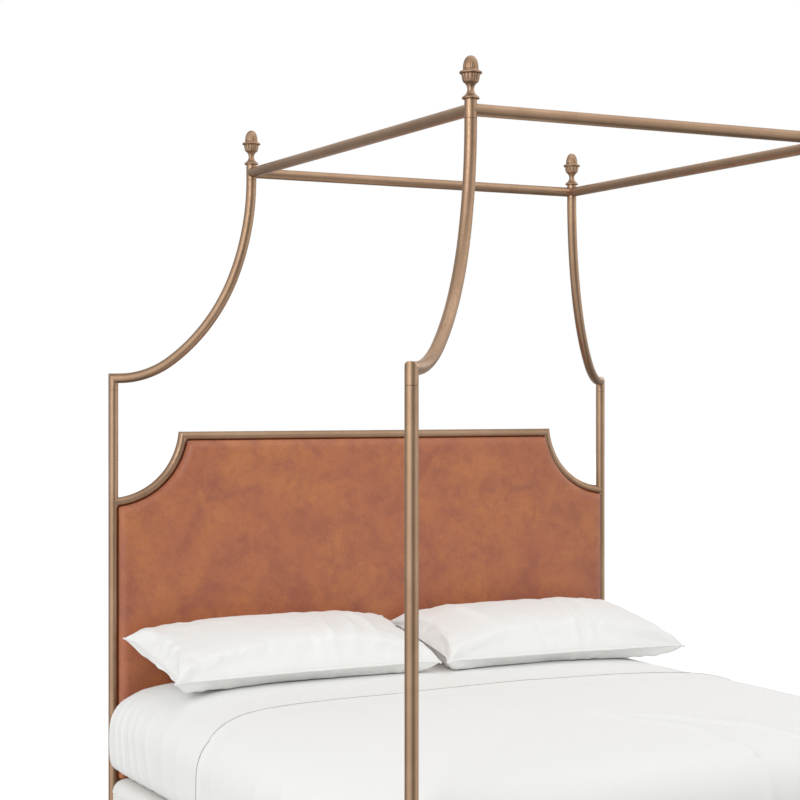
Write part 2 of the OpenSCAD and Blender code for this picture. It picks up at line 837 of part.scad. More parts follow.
module flat_sheet() {
    reach = mattress_w;
    color(linen) difference() {
        mattress_block(2 * (soft_gap + sheet_t));
        mattress_block(2 * soft_gap + sheet_t);
        translate([-reach, sheet_hem, 0]) cube([2 * reach, reach, 2 * mattress_top]);
        translate([-reach, -2 * reach, 0]) cube([2 * reach, 4 * reach, mattress_bottom + flat_edge]);
    }
}

module pillow_block(side, grow) {
    translate([side * pillow_x, pillow_y, pillow_z]) rotate([pillow_lean, 0, 0])
        soft_block(pillow_l / 2 + grow, pillow_d / 2 + grow, pillow_low + grow, pillow_h - pillow_low + grow,
            pillow_corner + grow, [pillow_blunt, pillow_blunt], pillow_soft, pillow_foot);
}

module pillow(side) {
    color(linen) difference() {
        pillow_block(side, -soft_gap - case_t);
        pillow_block(side, -soft_gap - case_t - pillow_wall);
    }
}

module pillow_case(side) {
    color(linen) difference() {
        pillow_block(side, 0);
        pillow_block(side, -case_t);
    }
}

post(-1, 1);  // post_head_left
post(1, 1);  // post_head_right
post(-1, -1);  // post_foot_left
post(1, -1);  // post_foot_right
post_sleeves();
canopy_arm(-1, 1);  // canopy_arm_head_left
canopy_arm(1, 1);  // canopy_arm_head_right
canopy_arm(-1, -1);  // canopy_arm_foot_left
canopy_arm(1, -1);  // canopy_arm_foot_right
arm_spigots();
coupler(-1, 1);  // coupler_head_left
coupler(1, 1);  // coupler_head_right
coupler(-1, -1);  // coupler_foot_left
coupler(1, -1);  // coupler_foot_right
side_canopy_rail(-1);  // canopy_rail_left
side_canopy_rail(1);  // canopy_rail_right
end_canopy_rail(1);  // canopy_rail_head
end_canopy_rail(-1);  // canopy_rail_foot
canopy_rail_inserts();
finial(-1, 1);  // finial_head_left
finial(1, 1);  // finial_head_right
finial(-1, -1);  // finial_foot_left
finial(1, -1);  // finial_foot_right
finial_rod(-1, 1);  // finial_rod_head_left
finial_rod(1, 1);  // finial_rod_head_right
finial_rod(-1, -1);  // finial_rod_foot_left
finial_rod(1, -1);  // finial_rod_foot_right
glide(-1, 1);  // glide_head_left
glide(1, 1);  // glide_head_right
glide(-1, -1);  // glide_foot_left
glide(1, -1);  // glide_foot_right
glide_sockets();
headboard_top_rail();
headboard_scoop(-1);  // headboard_scoop_left
headboard_scoop(1);  // headboard_scoop_right
headboard_bottom_rail();
headboard_panel();
headboard_pad();
headboard_back();
headboard_tabs();
headboard_screws();
side_rail(-1);  // side_rail_left
side_rail(1);  // side_rail_right
end_rail(1);  // head_rail
end_rail(-1);  // foot_rail
rail_brackets();
frame_bolts();
rail_nuts();
centre_beam();
centre_legs();
centre_feet();
slats();
box_spring();
mattress();
fitted_sheet();
flat_sheet();
pillow(-1);  // pillow_left
pillow(1);  // pillow_right
pillow_case(-1);  // pillow_case_left
pillow_case(1);  // pillow_case_right
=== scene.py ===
"""Finishes a four poster canopy bed around its CAD frame: bronze tube, leather headboard, bedding, studio."""
import math

import bmesh
import bpy
import numpy as np
from bpy.props import FloatProperty, FloatVectorProperty, IntProperty, PointerProperty
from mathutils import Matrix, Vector, noise
from mathutils.geometry import delaunay_2d_cdt


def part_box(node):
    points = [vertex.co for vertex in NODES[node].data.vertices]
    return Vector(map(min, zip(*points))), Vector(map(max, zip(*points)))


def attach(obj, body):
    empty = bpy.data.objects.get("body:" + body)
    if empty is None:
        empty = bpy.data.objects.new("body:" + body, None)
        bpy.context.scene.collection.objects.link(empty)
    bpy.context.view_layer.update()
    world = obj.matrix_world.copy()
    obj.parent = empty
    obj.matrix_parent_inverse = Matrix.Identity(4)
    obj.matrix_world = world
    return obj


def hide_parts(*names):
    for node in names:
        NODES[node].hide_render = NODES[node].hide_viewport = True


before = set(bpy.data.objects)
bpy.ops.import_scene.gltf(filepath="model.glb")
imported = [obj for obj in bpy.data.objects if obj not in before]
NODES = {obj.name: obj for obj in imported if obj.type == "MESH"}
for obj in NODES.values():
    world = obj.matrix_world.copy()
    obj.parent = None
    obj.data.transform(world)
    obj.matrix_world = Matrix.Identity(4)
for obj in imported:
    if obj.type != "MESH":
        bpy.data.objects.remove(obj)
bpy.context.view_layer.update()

bl_info = {
    "name": "Four Poster Canopy Bed",
    "version": (1, 0, 0),
    "blender": (4, 5, 0),
    "location": "View3D > Sidebar > Canopy Bed",
    "description": "Finishes a four poster canopy bed around its CAD frame",
    "category": "Object",
}

CORNERS = ("head_left", "head_right", "foot_left", "foot_right")
SIDES = {"left": -1, "right": 1}

MATTRESS_LOW, MATTRESS_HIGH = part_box("mattress")
SPRING_LOW, SPRING_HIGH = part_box("box_spring")
PAD_LOW, PAD_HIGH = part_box("headboard_pad")
HEM_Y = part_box("flat_sheet")[1].y
WIDEST_UP = 0.14  # height of the mattress's widest level above its underside
MIDDLE = Vector((0, (MATTRESS_LOW.y + MATTRESS_HIGH.y) / 2, MATTRESS_LOW.z + WIDEST_UP))
HALF_W = (MATTRESS_HIGH.x - MATTRESS_LOW.x) / 2
HALF_L = (MATTRESS_HIGH.y - MATTRESS_LOW.y) / 2

# Powers that shape the mattress: how square its plan is along X and Y, how its two pairs of sides
# run into each other, and how full it is above and below its widest level.
PLAN_X, PLAN_Y, PLAN_BLEND = 8, 14, 5
CROWN, FOOT = 2.6, 7.0

# Middle, width and skew of the front edge of each pillow, and the gaps that it keeps.
PILLOWS = {"left": (-0.456, 0.95, 0.035), "right": (0.487, 0.925, -0.012)}
PILLOW_TO_PAD = 0.008
PILLOW_TO_CROWN = 0.0045
PILLOW_FORWARD = 0.012  # how far the front seam is drawn out past the case's own depth


def srgb(red, green, blue):
    """A colour given from 0 to 255 as the linear numbers that shaders use."""
    return tuple(
        c / 12.92 if c <= 0.04045 else ((c + 0.055) / 1.055) ** 2.4
        for c in (red / 255, green / 255, blue / 255)
    )


# ---- sizes and colours ----


def colour(name, description, default):
    return FloatVectorProperty(
        name=name, description=description, subtype="COLOR", size=3, min=0, max=1, default=default
    )


def length(name, description, default, low=0.0, high=3.0):
    return FloatProperty(
        name=name, description=description, default=default, min=low, max=high, unit="LENGTH", precision=4
    )


def share(name, description, default, low=0.0, high=1.0):
    return FloatProperty(name=name, description=description, default=default, min=low, max=high)


class BedMetal(bpy.types.PropertyGroup):
    """Finishes of the tubes, castings and fittings"""

    bronze: colour("Bronze", "Main colour of the plated tube", srgb(186, 155, 128))
    shadow: colour("Bronze shadow", "Darker bronze left in hollows and patches", srgb(158, 128, 103))
    roughness: share("Roughness", "Roughness of the satin bronze", 0.42)
    black: colour("Blackened steel", "Paint on the hidden steel", srgb(44, 38, 35))
    zinc: colour("Zinc", "Plating on the bolts and screws", srgb(190, 190, 186))


class BedHeadboard(bpy.types.PropertyGroup):
    """The leather pad and what is behind it"""

    tan: colour("Tan", "Main colour of the leather", srgb(182, 111, 75))
    amber: colour("Amber", "Warm lighter patches in the leather", srgb(192, 121, 76))
    plum: colour("Plum", "Cooler darker patches in the leather", srgb(151, 89, 73))
    cloth: colour("Backing cloth", "Dust cloth on the back", srgb(62, 54, 50))
    edge: length("Rolled edge", "Radius of the pad's rolled edge", 0.026, 0.008, 0.034)
    overhang: length("Overhang", "How far the leather swells out over the frame's edge", 0.004, 0, 0.012)
    crown: length("Crown", "How far the middle of the pad swells", 0.0035, 0, 0.01)
    staple_pitch: length("Staple pitch", "Distance between staples on the back", 0.045, 0.02, 0.2)


class BedLinen(bpy.types.PropertyGroup):
    """The bedding"""

    white: colour("White", "Colour of the sheets and pillow cases", srgb(245, 245, 243))
    ticking: colour("Ticking", "Colour of the mattress and box spring covers", srgb(242, 241, 238))
    thread: colour("Thread", "Colour of the hem stitches", srgb(226, 224, 218))
    sheet_t: length("Sheet thickness", "Thickness of a sheet", 0.0008, 0.0004, 0.002)
    hem_w: length("Hem", "Width of the flat sheet's turned-over hem", 0.1, 0.03, 0.2)
    # edging is the grey of the thread along the flat sheet's hem edge: the thread is real, its grey is
    # painted shadow for the shade line behind the raised hem
    edging_shadow_grey: colour("Edging", "Thread that binds the hem of the flat sheet", srgb(176, 176, 174))
    hem_edge: length("Edging size", "Radius of the thread that binds the hem", 0.0007, 0.0004, 0.003)
    stitch: length("Stitch", "Distance from one stitch to the next", 0.004, 0.002, 0.02)
    cord_r: length("Cord", "Radius of the cord in the pillow seams", 0.0032, 0.001, 0.006)
    pillow_tilt: FloatProperty(
        name="Pillow tilt", description="How far a pillow leans back",
        default=math.radians(10.5), subtype="ANGLE",
    )
    pressure: FloatProperty(name="Pressure", description="Air pressure that fills a pillow", default=3, min=0)
    slack: share("Slack", "Share of spare cloth in a pillow case", 0.02, 0, 0.1)


class BedStudio(bpy.types.PropertyGroup):
    """Floor, lights and camera"""

    floor: colour("Floor", "Colour of the floor", srgb(246, 246, 246))
    eye: FloatVectorProperty(
        name="Eye", description="Place of the camera", size=3, default=(-2.828, -4.692, 1.55), subtype="XYZ"
    )
    heading: FloatProperty(
        name="Heading", description="Camera's turn from +Y towards +X",
        default=math.radians(27.03), subtype="ANGLE",
    )
    lens: FloatProperty(name="Lens", description="Focal length on a 36 mm sensor", default=82.4, min=20)


# ---- node materials ----


def add(tree, kind, inputs=None, **settings):
    """Adds a shader or geometry node; an input is a value or a socket to link, by name or number."""
    node = tree.nodes.new(kind)
    for key, value in settings.items():
        setattr(node, key, value)
    for key, value in (inputs or {}).items():
        if isinstance(value, bpy.types.NodeSocket):
            tree.links.new(value, node.inputs[key])
        else:
            node.inputs[key].default_value = value
    return node


def new_material(name, **inputs):
    """A node material, its Principled shader with these plain inputs, and its tree."""
    material = bpy.data.materials.new(name)
    material.use_nodes = True
    tree = material.node_tree
    principled = tree.nodes["Principled BSDF"]
    for key, value in inputs.items():
        principled.inputs[key.replace("_", " ")].default_value = value
    return material, tree, principled


def place(tree, scale=(1, 1, 1), source="Object", shift=(0, 0, 0)):
    """Object or UV coordinates in metres, stretched by a scale."""
    coordinates = add(tree, "ShaderNodeTexCoord")
    mapping = add(
        tree, "ShaderNodeMapping", {"Vector": coordinates.outputs[source], "Location": shift, "Scale": scale}
    )
    return mapping.outputs["Vector"]


def grain(tree, vector, scale, detail=2.0, roughness=0.5, distortion=0.0):
    """The 0 to 1 value of a noise with features about 1/scale metres wide."""
    node = add(
        tree,
        "ShaderNodeTexNoise",
        {
            "Vector": vector, "Scale": scale, "Detail": detail,
            "Roughness": roughness, "Distortion": distortion,
        },
    )
    return node.outputs["Fac"]


def ramp(tree, value, low, high, to_low=0.0, to_high=1.0):
    """Carries a value from one range to another, with its ends held."""
    node = add(
        tree,
        "ShaderNodeMapRange",
        {"Value": value, "From Min": low, "From Max": high, "To Min": to_low, "To Max": to_high},
        interpolation_type="SMOOTHSTEP",
    )
    return node.outputs["Result"]


def blend_colour(tree, factor, first, second):
    """Mixes two colours, each a plain colour or a socket."""
    sides = [side if isinstance(side, bpy.types.NodeSocket) else (*side, 1) for side in (first, second)]
    node = add(tree, "ShaderNodeMix", {0: factor, 6: sides[0], 7: sides[1]}, data_type="RGBA")
    return node.outputs[2]


def maths(tree, operation, first, second=0.0):
    return add(tree, "ShaderNodeMath", {0: first, 1: second}, operation=operation).outputs[0]


def raise_surface(tree, principled, layers):
    """Chains bumps; each layer is a height socket and its depth in metres."""
    normal = None
    for height, depth in layers:
        inputs = {"Height": height, "Distance": depth, "Strength": 1.0}
        if normal is not None:
            inputs["Normal"] = normal
        normal = add(tree, "ShaderNodeBump", inputs).outputs["Normal"]
    tree.links.new(normal, principled.inputs["Normal"])


def bronze(name, brush):
    """Satin antique bronze; brush is how fine the brushing is along X, Y and Z."""
    look = bpy.context.scene.bed_metal
    material, tree, principled = new_material(name, Metallic=1.0)
    patches = grain(tree, place(tree), 14, 5, 0.6)
    clouds = grain(tree, place(tree, (3, 3, 3)), 1, 2)
    lines = grain(tree, place(tree, brush), 1, 3, 0.65)
    tone = maths(tree, "ADD", maths(tree, "MULTIPLY", patches, 0.5), maths(tree, "MULTIPLY", clouds, 0.5))
    base = blend_colour(tree, ramp(tree, tone, 0.15, 0.8), look.shadow, look.bronze)
    streaked = blend_colour(tree, ramp(tree, lines, 0.3, 0.7, 0.0, 0.16), base, look.shadow)
    tree.links.new(streaked, principled.inputs["Base Color"])
    rough = ramp(tree, lines, 0.25, 0.75, look.roughness - 0.06, look.roughness + 0.07)
    tree.links.new(rough, principled.inputs["Roughness"])
    pits = grain(tree, place(tree), 700, 2)
    raise_surface(tree, principled, [(lines, 0.00005), (pits, 0.00003)])
    return material


def cast_bronze(name):
    """Satin bronze on the castings, darker where the mesh's hollow attribute says so."""
    look = bpy.context.scene.bed_metal
    material, tree, principled = new_material(name, Metallic=1.0)
    hollow = add(tree, "ShaderNodeAttribute", attribute_name="hollow").outputs["Fac"]
    patches = grain(tree, place(tree), 60, 4, 0.6)
    base = blend_colour(tree, ramp(tree, patches, 0.3, 0.7), look.shadow, look.bronze)
    dark = tuple(c * 0.35 for c in look.shadow)
    aged = blend_colour(tree, ramp(tree, hollow, 0.15, 1.0, 0.0, 0.85), base, dark)
    tree.links.new(aged, principled.inputs["Base Color"])
    rough = ramp(tree, patches, 0.3, 0.7, look.roughness, look.roughness + 0.12)
    tree.links.new(rough, principled.inputs["Roughness"])
    raise_surface(tree, principled, [(grain(tree, place(tree), 900, 3), 0.00006)])
    return material


def plated(name, base, roughness):
    """Bright zinc plate with faint swirls."""
    material, tree, principled = new_material(name, Metallic=1.0)
    swirl = grain(tree, place(tree), 160, 4, 0.6, 1.5)
    duller = tuple(c * 0.7 for c in base)
    tone = blend_colour(tree, ramp(tree, swirl, 0.3, 0.7), duller, base)
    tree.links.new(tone, principled.inputs["Base Color"])
    tree.links.new(
        ramp(tree, swirl, 0.3, 0.7, roughness, roughness + 0.15), principled.inputs["Roughness"]
    )
    raise_surface(tree, principled, [(grain(tree, place(tree), 1200, 2), 0.00002)])
    return material


def painted(name, base, roughness, texture=420):
    """Matt paint or moulded plastic with a fine orange-peel texture and rubbed patches."""
    material, tree, principled = new_material(name)
    rubbed = grain(tree, place(tree), 18, 5, 0.6)
    lighter = tuple(min(1.0, c * 1.7 + 0.004) for c in base)
    tone = blend_colour(tree, ramp(tree, rubbed, 0.45, 0.8), base, lighter)
    tree.links.new(tone, principled.inputs["Base Color"])
    tree.links.new(
        ramp(tree, rubbed, 0.3, 0.7, roughness + 0.08, roughness - 0.05), principled.inputs["Roughness"]
    )
    raise_surface(tree, principled, [(grain(tree, place(tree), texture, 3), 0.00008)])
    return material


def birch(name, along):
    """Pale lacquered birch; along stretches the grain."""
    material, tree, principled = new_material(name, Coat_Weight=0.12, Coat_Roughness=0.3)
    rings = grain(tree, place(tree, along), 1, 5, 0.6, 0.8)
    pores = grain(tree, place(tree, tuple(c * 9 for c in along)), 1, 2)
    board = grain(tree, place(tree), 3, 1)
    pale, warm = srgb(219, 190, 148), srgb(186, 148, 102)
    base = blend_colour(tree, ramp(tree, rings, 0.35, 0.65), pale, warm)
    shaded = blend_colour(tree, ramp(tree, board, 0.35, 0.65, 0.0, 0.3), base, srgb(170, 132, 90))
    tree.links.new(shaded, principled.inputs["Base Color"])
    tree.links.new(ramp(tree, pores, 0.3, 0.7, 0.5, 0.62), principled.inputs["Roughness"])
    raise_surface(tree, principled, [(rings, 0.0002), (pores, 0.0001)])
    return material


def mottled_leather(name):
    """Cognac leather: clouded in tan, amber and plum, with pebbled grain and fine creases."""
    look = bpy.context.scene.bed_headboard
    material, tree, principled = new_material(name, Specular_IOR_Level=0.42)
    spot = place(tree, (1, 1, 1))
    clouds = grain(tree, spot, 5.5, 5, 0.62, 0.35)
    islands = grain(tree, place(tree, (1, 1, 1), shift=(3.1, 0, 1.7)), 9, 5, 0.65, 0.5)
    veins = grain(tree, place(tree, (1, 1, 1), shift=(7.3, 0, 4.9)), 34, 5, 0.7, 0.3)
    weave = grain(tree, place(tree, (40, 40, 260)), 1, 2, 0.6)
    weft = grain(tree, place(tree, (260, 40, 40)), 1, 2, 0.6)
    base = blend_colour(tree, ramp(tree, clouds, 0.4, 0.64), look.tan, look.amber)
    patchy = blend_colour(tree, ramp(tree, islands, 0.4, 0.72, 0.0, 0.7), base, look.plum)
    veined = blend_colour(tree, ramp(tree, veins, 0.42, 0.8, 0.0, 0.5), patchy, look.plum)
    fine = maths(tree, "MULTIPLY", weave, weft)
    finished = blend_colour(tree, ramp(tree, fine, 0.2, 0.34, 0.16, 0.0), veined, look.plum)
    tree.links.new(finished, principled.inputs["Base Color"])
    pebbles = add(
        tree, "ShaderNodeTexVoronoi", {"Vector": place(tree), "Scale": 620.0}, feature="SMOOTH_F1"
    ).outputs["Distance"]
    tree.links.new(ramp(tree, veins, 0.3, 0.7, 0.38, 0.48), principled.inputs["Roughness"])
    creases = grain(tree, place(tree), 45, 6, 0.7)
    raise_surface(tree, principled, [(creases, 0.0006), (pebbles, 0.00012)])
    return material


def cotton(name, base, threads, crumple=0.0004):
    """Woven cotton: plain weave, slubs and soft crumples, on the piece's own UV in metres."""
    material, tree, principled = new_material(name, Sheen_Weight=0.12, Sheen_Roughness=0.5)
    flat = place(tree, source="UV")
    waves = [
        add(
            tree,
            "ShaderNodeTexWave",
            {"Vector": flat, "Scale": threads / 20.0, "Distortion": 0.6, "Detail": 1.0},
            bands_direction=way,
        ).outputs["Fac"]
        for way in ("X", "Y")
    ]
    weave = maths(tree, "MULTIPLY", waves[0], waves[1])
    slubs = grain(tree, place(tree, (30, 900, 1), "UV"), 1, 2)
    soft = grain(tree, place(tree), 22, 4, 0.55)
    cooler = tuple(c * 0.95 for c in base)
    tinted = blend_colour(tree, ramp(tree, slubs, 0.35, 0.7, 0.0, 0.5), base, cooler)
    woven = blend_colour(tree, ramp(tree, weave, 0.0, 0.5, 0.14, 0.0), tinted, tuple(c * 0.86 for c in base))
    tree.links.new(woven, principled.inputs["Base Color"])
    tree.links.new(ramp(tree, slubs, 0.3, 0.7, 0.82, 0.92), principled.inputs["Roughness"])
    raise_surface(tree, principled, [(soft, crumple), (weave, 0.00006)])
    return material


def felt(name, base):
    """Non-woven dust cloth: short matted fibres."""
    material, tree, principled = new_material(name, Roughness=0.95, Sheen_Weight=0.3)
    fibres = grain(tree, place(tree), 520, 5, 0.75, 2.0)
    lighter = tuple(min(1.0, c * 1.8) for c in base)
    tone = blend_colour(tree, ramp(tree, fibres, 0.35, 0.7), base, lighter)
    tree.links.new(tone, principled.inputs["Base Color"])
    raise_surface(tree, principled, [(fibres, 0.0003)])
    return material


# ---- meshes ----


def new_piece(name, points, faces, material, body, smooth=True):
    """A mesh piece in the row frame, its normals outward, riding on a body."""
    mesh = bpy.data.meshes.new(name)
    mesh.from_pydata([tuple(p) for p in points], [], [list(f) for f in faces])
    mesh.materials.append(material)
    mesh.polygons.foreach_set("use_smooth", [smooth] * len(mesh.polygons))
    mesh.update()
    piece = bpy.data.objects.new(name, mesh)
    bpy.context.scene.collection.objects.link(piece)
    if body:
        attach(piece, body)
    return piece


def unfold(piece):
    """Gives a piece a UV map in metres, each face laid flat along the axis that it faces."""
    mesh = piece.data
    layer = mesh.uv_layers.new(name="cloth")
    flat = {0: (1, 2), 1: (0, 2), 2: (0, 1)}
    for face in mesh.polygons:
        steep = max(range(3), key=lambda axis: abs(face.normal[axis]))
        across, along = flat[steep]
        for loop in face.loop_indices:
            point = mesh.vertices[mesh.loops[loop].vertex_index].co
            layer.data[loop].uv = (point[across], point[along])


def thicken(sheet, thickness):
    """Gives a sheet its thickness, outwards from the surface that it was laid on."""
    solid = sheet.modifiers.new("thickness", "SOLIDIFY")
    solid.thickness = thickness
    solid.offset = 1


def unit_box(counts, close=0.3, lean=0.0):
    """Points and outward quads of a box from -1 to 1, cut into cells along X, Y and Z, closer at its edges.

    lean crowds the cells towards +Y."""
    index = {}
    quads = []
    for axis in range(3):
        a, b = (axis + 1) % 3, (axis + 2) % 3
        for side in (-1, 1):

            def corner(i, j):
                point = [0.0, 0.0, 0.0]
                point[axis] = float(side)
                point[a] = 2 * i / counts[a] - 1
                point[b] = 2 * j / counts[b] - 1
                point = [c * (1 + close - close * c * c) for c in point]
                point[1] += lean * (1 - point[1] ** 2)
                return index.setdefault(tuple(round(c, 6) for c in point), len(index))

            for i in range(counts[a]):
                for j in range(counts[b]):
                    quad = [corner(i, j), corner(i + 1, j), corner(i + 1, j + 1), corner(i, j + 1)]
                    quads.append(quad if side > 0 else quad[::-1])
    return np.array(list(index)), np.array(quads)


def plan_share(x, y):
    """How near shares of the half width and half length lie to the mattress's rim, from 0 to 1."""
    return (x ** (PLAN_X * PLAN_BLEND) + y ** (PLAN_Y * PLAN_BLEND)) ** (1 / PLAN_BLEND)


def soft_form(points, half_w, half_l, low, high, halvings=40):
    """Carries unit box points out to a form that is crowned above its widest level and squarer below it."""
    across, along, tall = np.abs(points).T
    soft = np.where(points[:, 2] > 0, CROWN, FOOT)
    small, large = np.zeros(len(points)), np.ones(len(points))
    for _ in range(halvings):
        middle = (small + large) / 2
        inside = plan_share(middle * across, middle * along) + (middle * tall) ** soft < 1
        small = np.where(inside, middle, small)
        large = np.where(inside, large, middle)
    rise = np.where(points[:, 2] > 0, high, low)
    reach = np.stack([np.full(len(points), half_w), np.full(len(points), half_l), rise], 1)
    return points * small[:, None] * reach


def mattress_points(points, grow):
    """Unit box points carried to the mattress, grown all round."""
    out = soft_form(
        points,
        HALF_W + grow,
        HALF_L + grow,
        MIDDLE.z - MATTRESS_LOW.z + grow,
        MATTRESS_HIGH.z - MIDDLE.z + grow,
    )
    return out + np.array(MIDDLE)


def sheet_height(x, y, grow):
    """Height of the mattress's crown at a place, grown all round."""
    across = np.clip(np.abs(x) / (HALF_W + grow), 0, 1)
    along = np.clip(np.abs(y - MIDDLE.y) / (HALF_L + grow), 0, 1)
    fullness = np.clip(1 - plan_share(across, along), 0, 1) ** (1 / CROWN)
    return MIDDLE.z + (MATTRESS_HIGH.z - MIDDLE.z + grow) * fullness


def boxed(points):
    """Points of the mattress's surface moved straight out to the nearest wall of the box round it."""
    low, high, middle = (np.array(v) for v in (MATTRESS_LOW, MATTRESS_HIGH, MIDDLE))
    wall = np.where(points > middle, high, low)
    share = (points - middle) / (wall - middle)
    nearest = share.argmax(1)
    moved = points.copy()
    rows = np.arange(len(points))
    moved[rows, nearest] = wall[rows, nearest]
    return moved


def outward(points, quads):
    """Unit normals at the points of a quad mesh."""
    a, b, c, d = (points[quads[:, k]] for k in range(4))
    across = np.cross(c - a, d - b)
    normals = np.zeros_like(points)
    for k in range(4):
        np.add.at(normals, quads[:, k], across)
    return normals / np.maximum(np.linalg.norm(normals, axis=1), 1e-12)[:, None]


def waviness(points, size, seed, octaves=3):
    """Smooth seeded noise from about -1 to 1, with features of a size in metres."""
    shift = Vector((seed * 11.3, seed * 5.7, seed * 3.1))
    spots = [Vector(p) / size + shift for p in points]
    return np.array([noise.fractal(spot, 1.0, 2.0, octaves, noise_basis="PERLIN_ORIGINAL") for spot in spots])


def folds(points, lines):
    """Height of soft folds; a line is the points that it runs through, its half width and its height."""
    total = np.zeros(len(points))
    for path, width, height in lines:
        path = np.array(path)
        steps = np.linalg.norm(np.diff(path, axis=0), axis=1)
        walked = np.concatenate([[0], np.cumsum(steps)]) / steps.sum()
        nearest, share = np.full(len(points), np.inf), np.zeros(len(points))
        for k, (start, end) in enumerate(zip(path, path[1:])):
            reach = end - start
            along = np.clip((points - start) @ reach / (reach @ reach), 0, 1)
            away = np.linalg.norm(points - start - along[:, None] * reach, axis=1)
            share = np.where(away < nearest, walked[k] + along * (walked[k + 1] - walked[k]), share)
            nearest = np.minimum(away, nearest)
        fade = np.sin(np.pi * np.clip(share * 0.9 + 0.05, 0, 1)) ** 0.7
        total += height * fade * np.exp(-((nearest / width) ** 2))
    return total


def used_only(points, faces):
    """Drops the points that no face uses."""
    used = np.unique(faces)
    place_of = np.full(len(points), -1)
    place_of[used] = np.arange(len(used))
    return points[used], place_of[faces]


# ---- geometry node trees ----


def node_tree(name, sockets):
    """An empty geometry node tree with named inputs, its group input and its group output."""
    tree = bpy.data.node_groups.new(name, "GeometryNodeTree")
    tree.interface.new_socket("Geometry", in_out="INPUT", socket_type="NodeSocketGeometry")
    for label, kind in sockets:
        tree.interface.new_socket(label, in_out="INPUT", socket_type=kind)
    tree.interface.new_socket("Geometry", in_out="OUTPUT", socket_type="NodeSocketGeometry")
    return tree, add(tree, "NodeGroupInput"), add(tree, "NodeGroupOutput")


def end_tree(tree, given, out, geometry):
    """Ends a tree in Realize Instances, Set Shade Smooth and Set Material."""
    real = add(tree, "GeometryNodeRealizeInstances", {"Geometry": geometry})
    smooth = add(tree, "GeometryNodeSetShadeSmooth", {"Geometry": real.outputs[0]})
    done = add(
        tree,
        "GeometryNodeSetMaterial",
        {"Geometry": smooth.outputs[0], "Material": given.outputs["Material"]},
    )
    tree.links.new(done.outputs[0], out.inputs[0])
    return tree


def cord_tree():
    """A round cord along the edges of a path."""
    tree, given, out = node_tree(
        "Sewn cord",
        [("Radius", "NodeSocketFloat"), ("Sides", "NodeSocketInt"), ("Material", "NodeSocketMaterial")],
    )
    path = add(tree, "GeometryNodeMeshToCurve", {"Mesh": given.outputs["Geometry"]})
    ring = add(
        tree,
        "GeometryNodeCurvePrimitiveCircle",
        {"Resolution": given.outputs["Sides"], "Radius": given.outputs["Radius"]},
    )
    tube = add(
        tree,
        "GeometryNodeCurveToMesh",
        {"Curve": path.outputs[0], "Profile Curve": ring.outputs[0], "Fill Caps": True},
    )
    return end_tree(tree, given, out, tube.outputs[0])


def stitch_tree():
    """Short rounded bars laid end to end along the edges of a path."""
    tree, given, out = node_tree(
        "Row of stitches",
        [
            ("Pitch", "NodeSocketFloat"),
            ("Radius", "NodeSocketFloat"),
            ("Share", "NodeSocketFloat"),
            ("Material", "NodeSocketMaterial"),
        ],
    )
    path = add(tree, "GeometryNodeMeshToCurve", {"Mesh": given.outputs["Geometry"]})
    spots = add(
        tree,
        "GeometryNodeResampleCurve",
        {"Curve": path.outputs[0], "Length": given.outputs["Pitch"]},
        mode="LENGTH",
    )
    along = add(tree, "GeometryNodeInputTangent")
    turn = add(tree, "FunctionNodeAlignRotationToVector", {"Vector": along.outputs[0]}, axis="Z")
    long = add(
        tree, "ShaderNodeMath", {0: given.outputs["Pitch"], 1: given.outputs["Share"]}, operation="MULTIPLY"
    )
    bar = add(
        tree,
        "GeometryNodeMeshCylinder",
        {"Vertices": 6, "Side Segments": 2, "Radius": given.outputs["Radius"], "Depth": long.outputs[0]},
    )
    row = add(
        tree,
        "GeometryNodeInstanceOnPoints",
        {"Points": spots.outputs[0], "Instance": bar.outputs[0], "Rotation": turn.outputs[0]},
    )
    return end_tree(tree, given, out, row.outputs[0])


def along_path(name, tree, points, closed, slot, body, **sizes):
    """Runs a tree along a path of points and keeps the result as a plain mesh piece."""
    count = len(points)
    edges = [(i, (i + 1) % count) for i in range(count if closed else count - 1)]
    mesh = bpy.data.meshes.new(name)
    mesh.from_pydata([tuple(p) for p in points], edges, [])
    piece = bpy.data.objects.new(name, mesh)
    bpy.context.scene.collection.objects.link(piece)
    modifier = piece.modifiers.new("grow", "NODES")
    modifier.node_group = tree
    for socket in tree.interface.items_tree:
        if socket.in_out == "INPUT" and socket.name in sizes:
            modifier[socket.identifier] = sizes[socket.name]
    ready = piece.evaluated_get(bpy.context.evaluated_depsgraph_get())
    finished = bpy.data.meshes.new_from_object(ready)
    piece.modifiers.clear()
    piece.data = finished
    bpy.data.meshes.remove(mesh)
    finished.name = name
    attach(piece, body)
    return piece


# ---- pieces ----


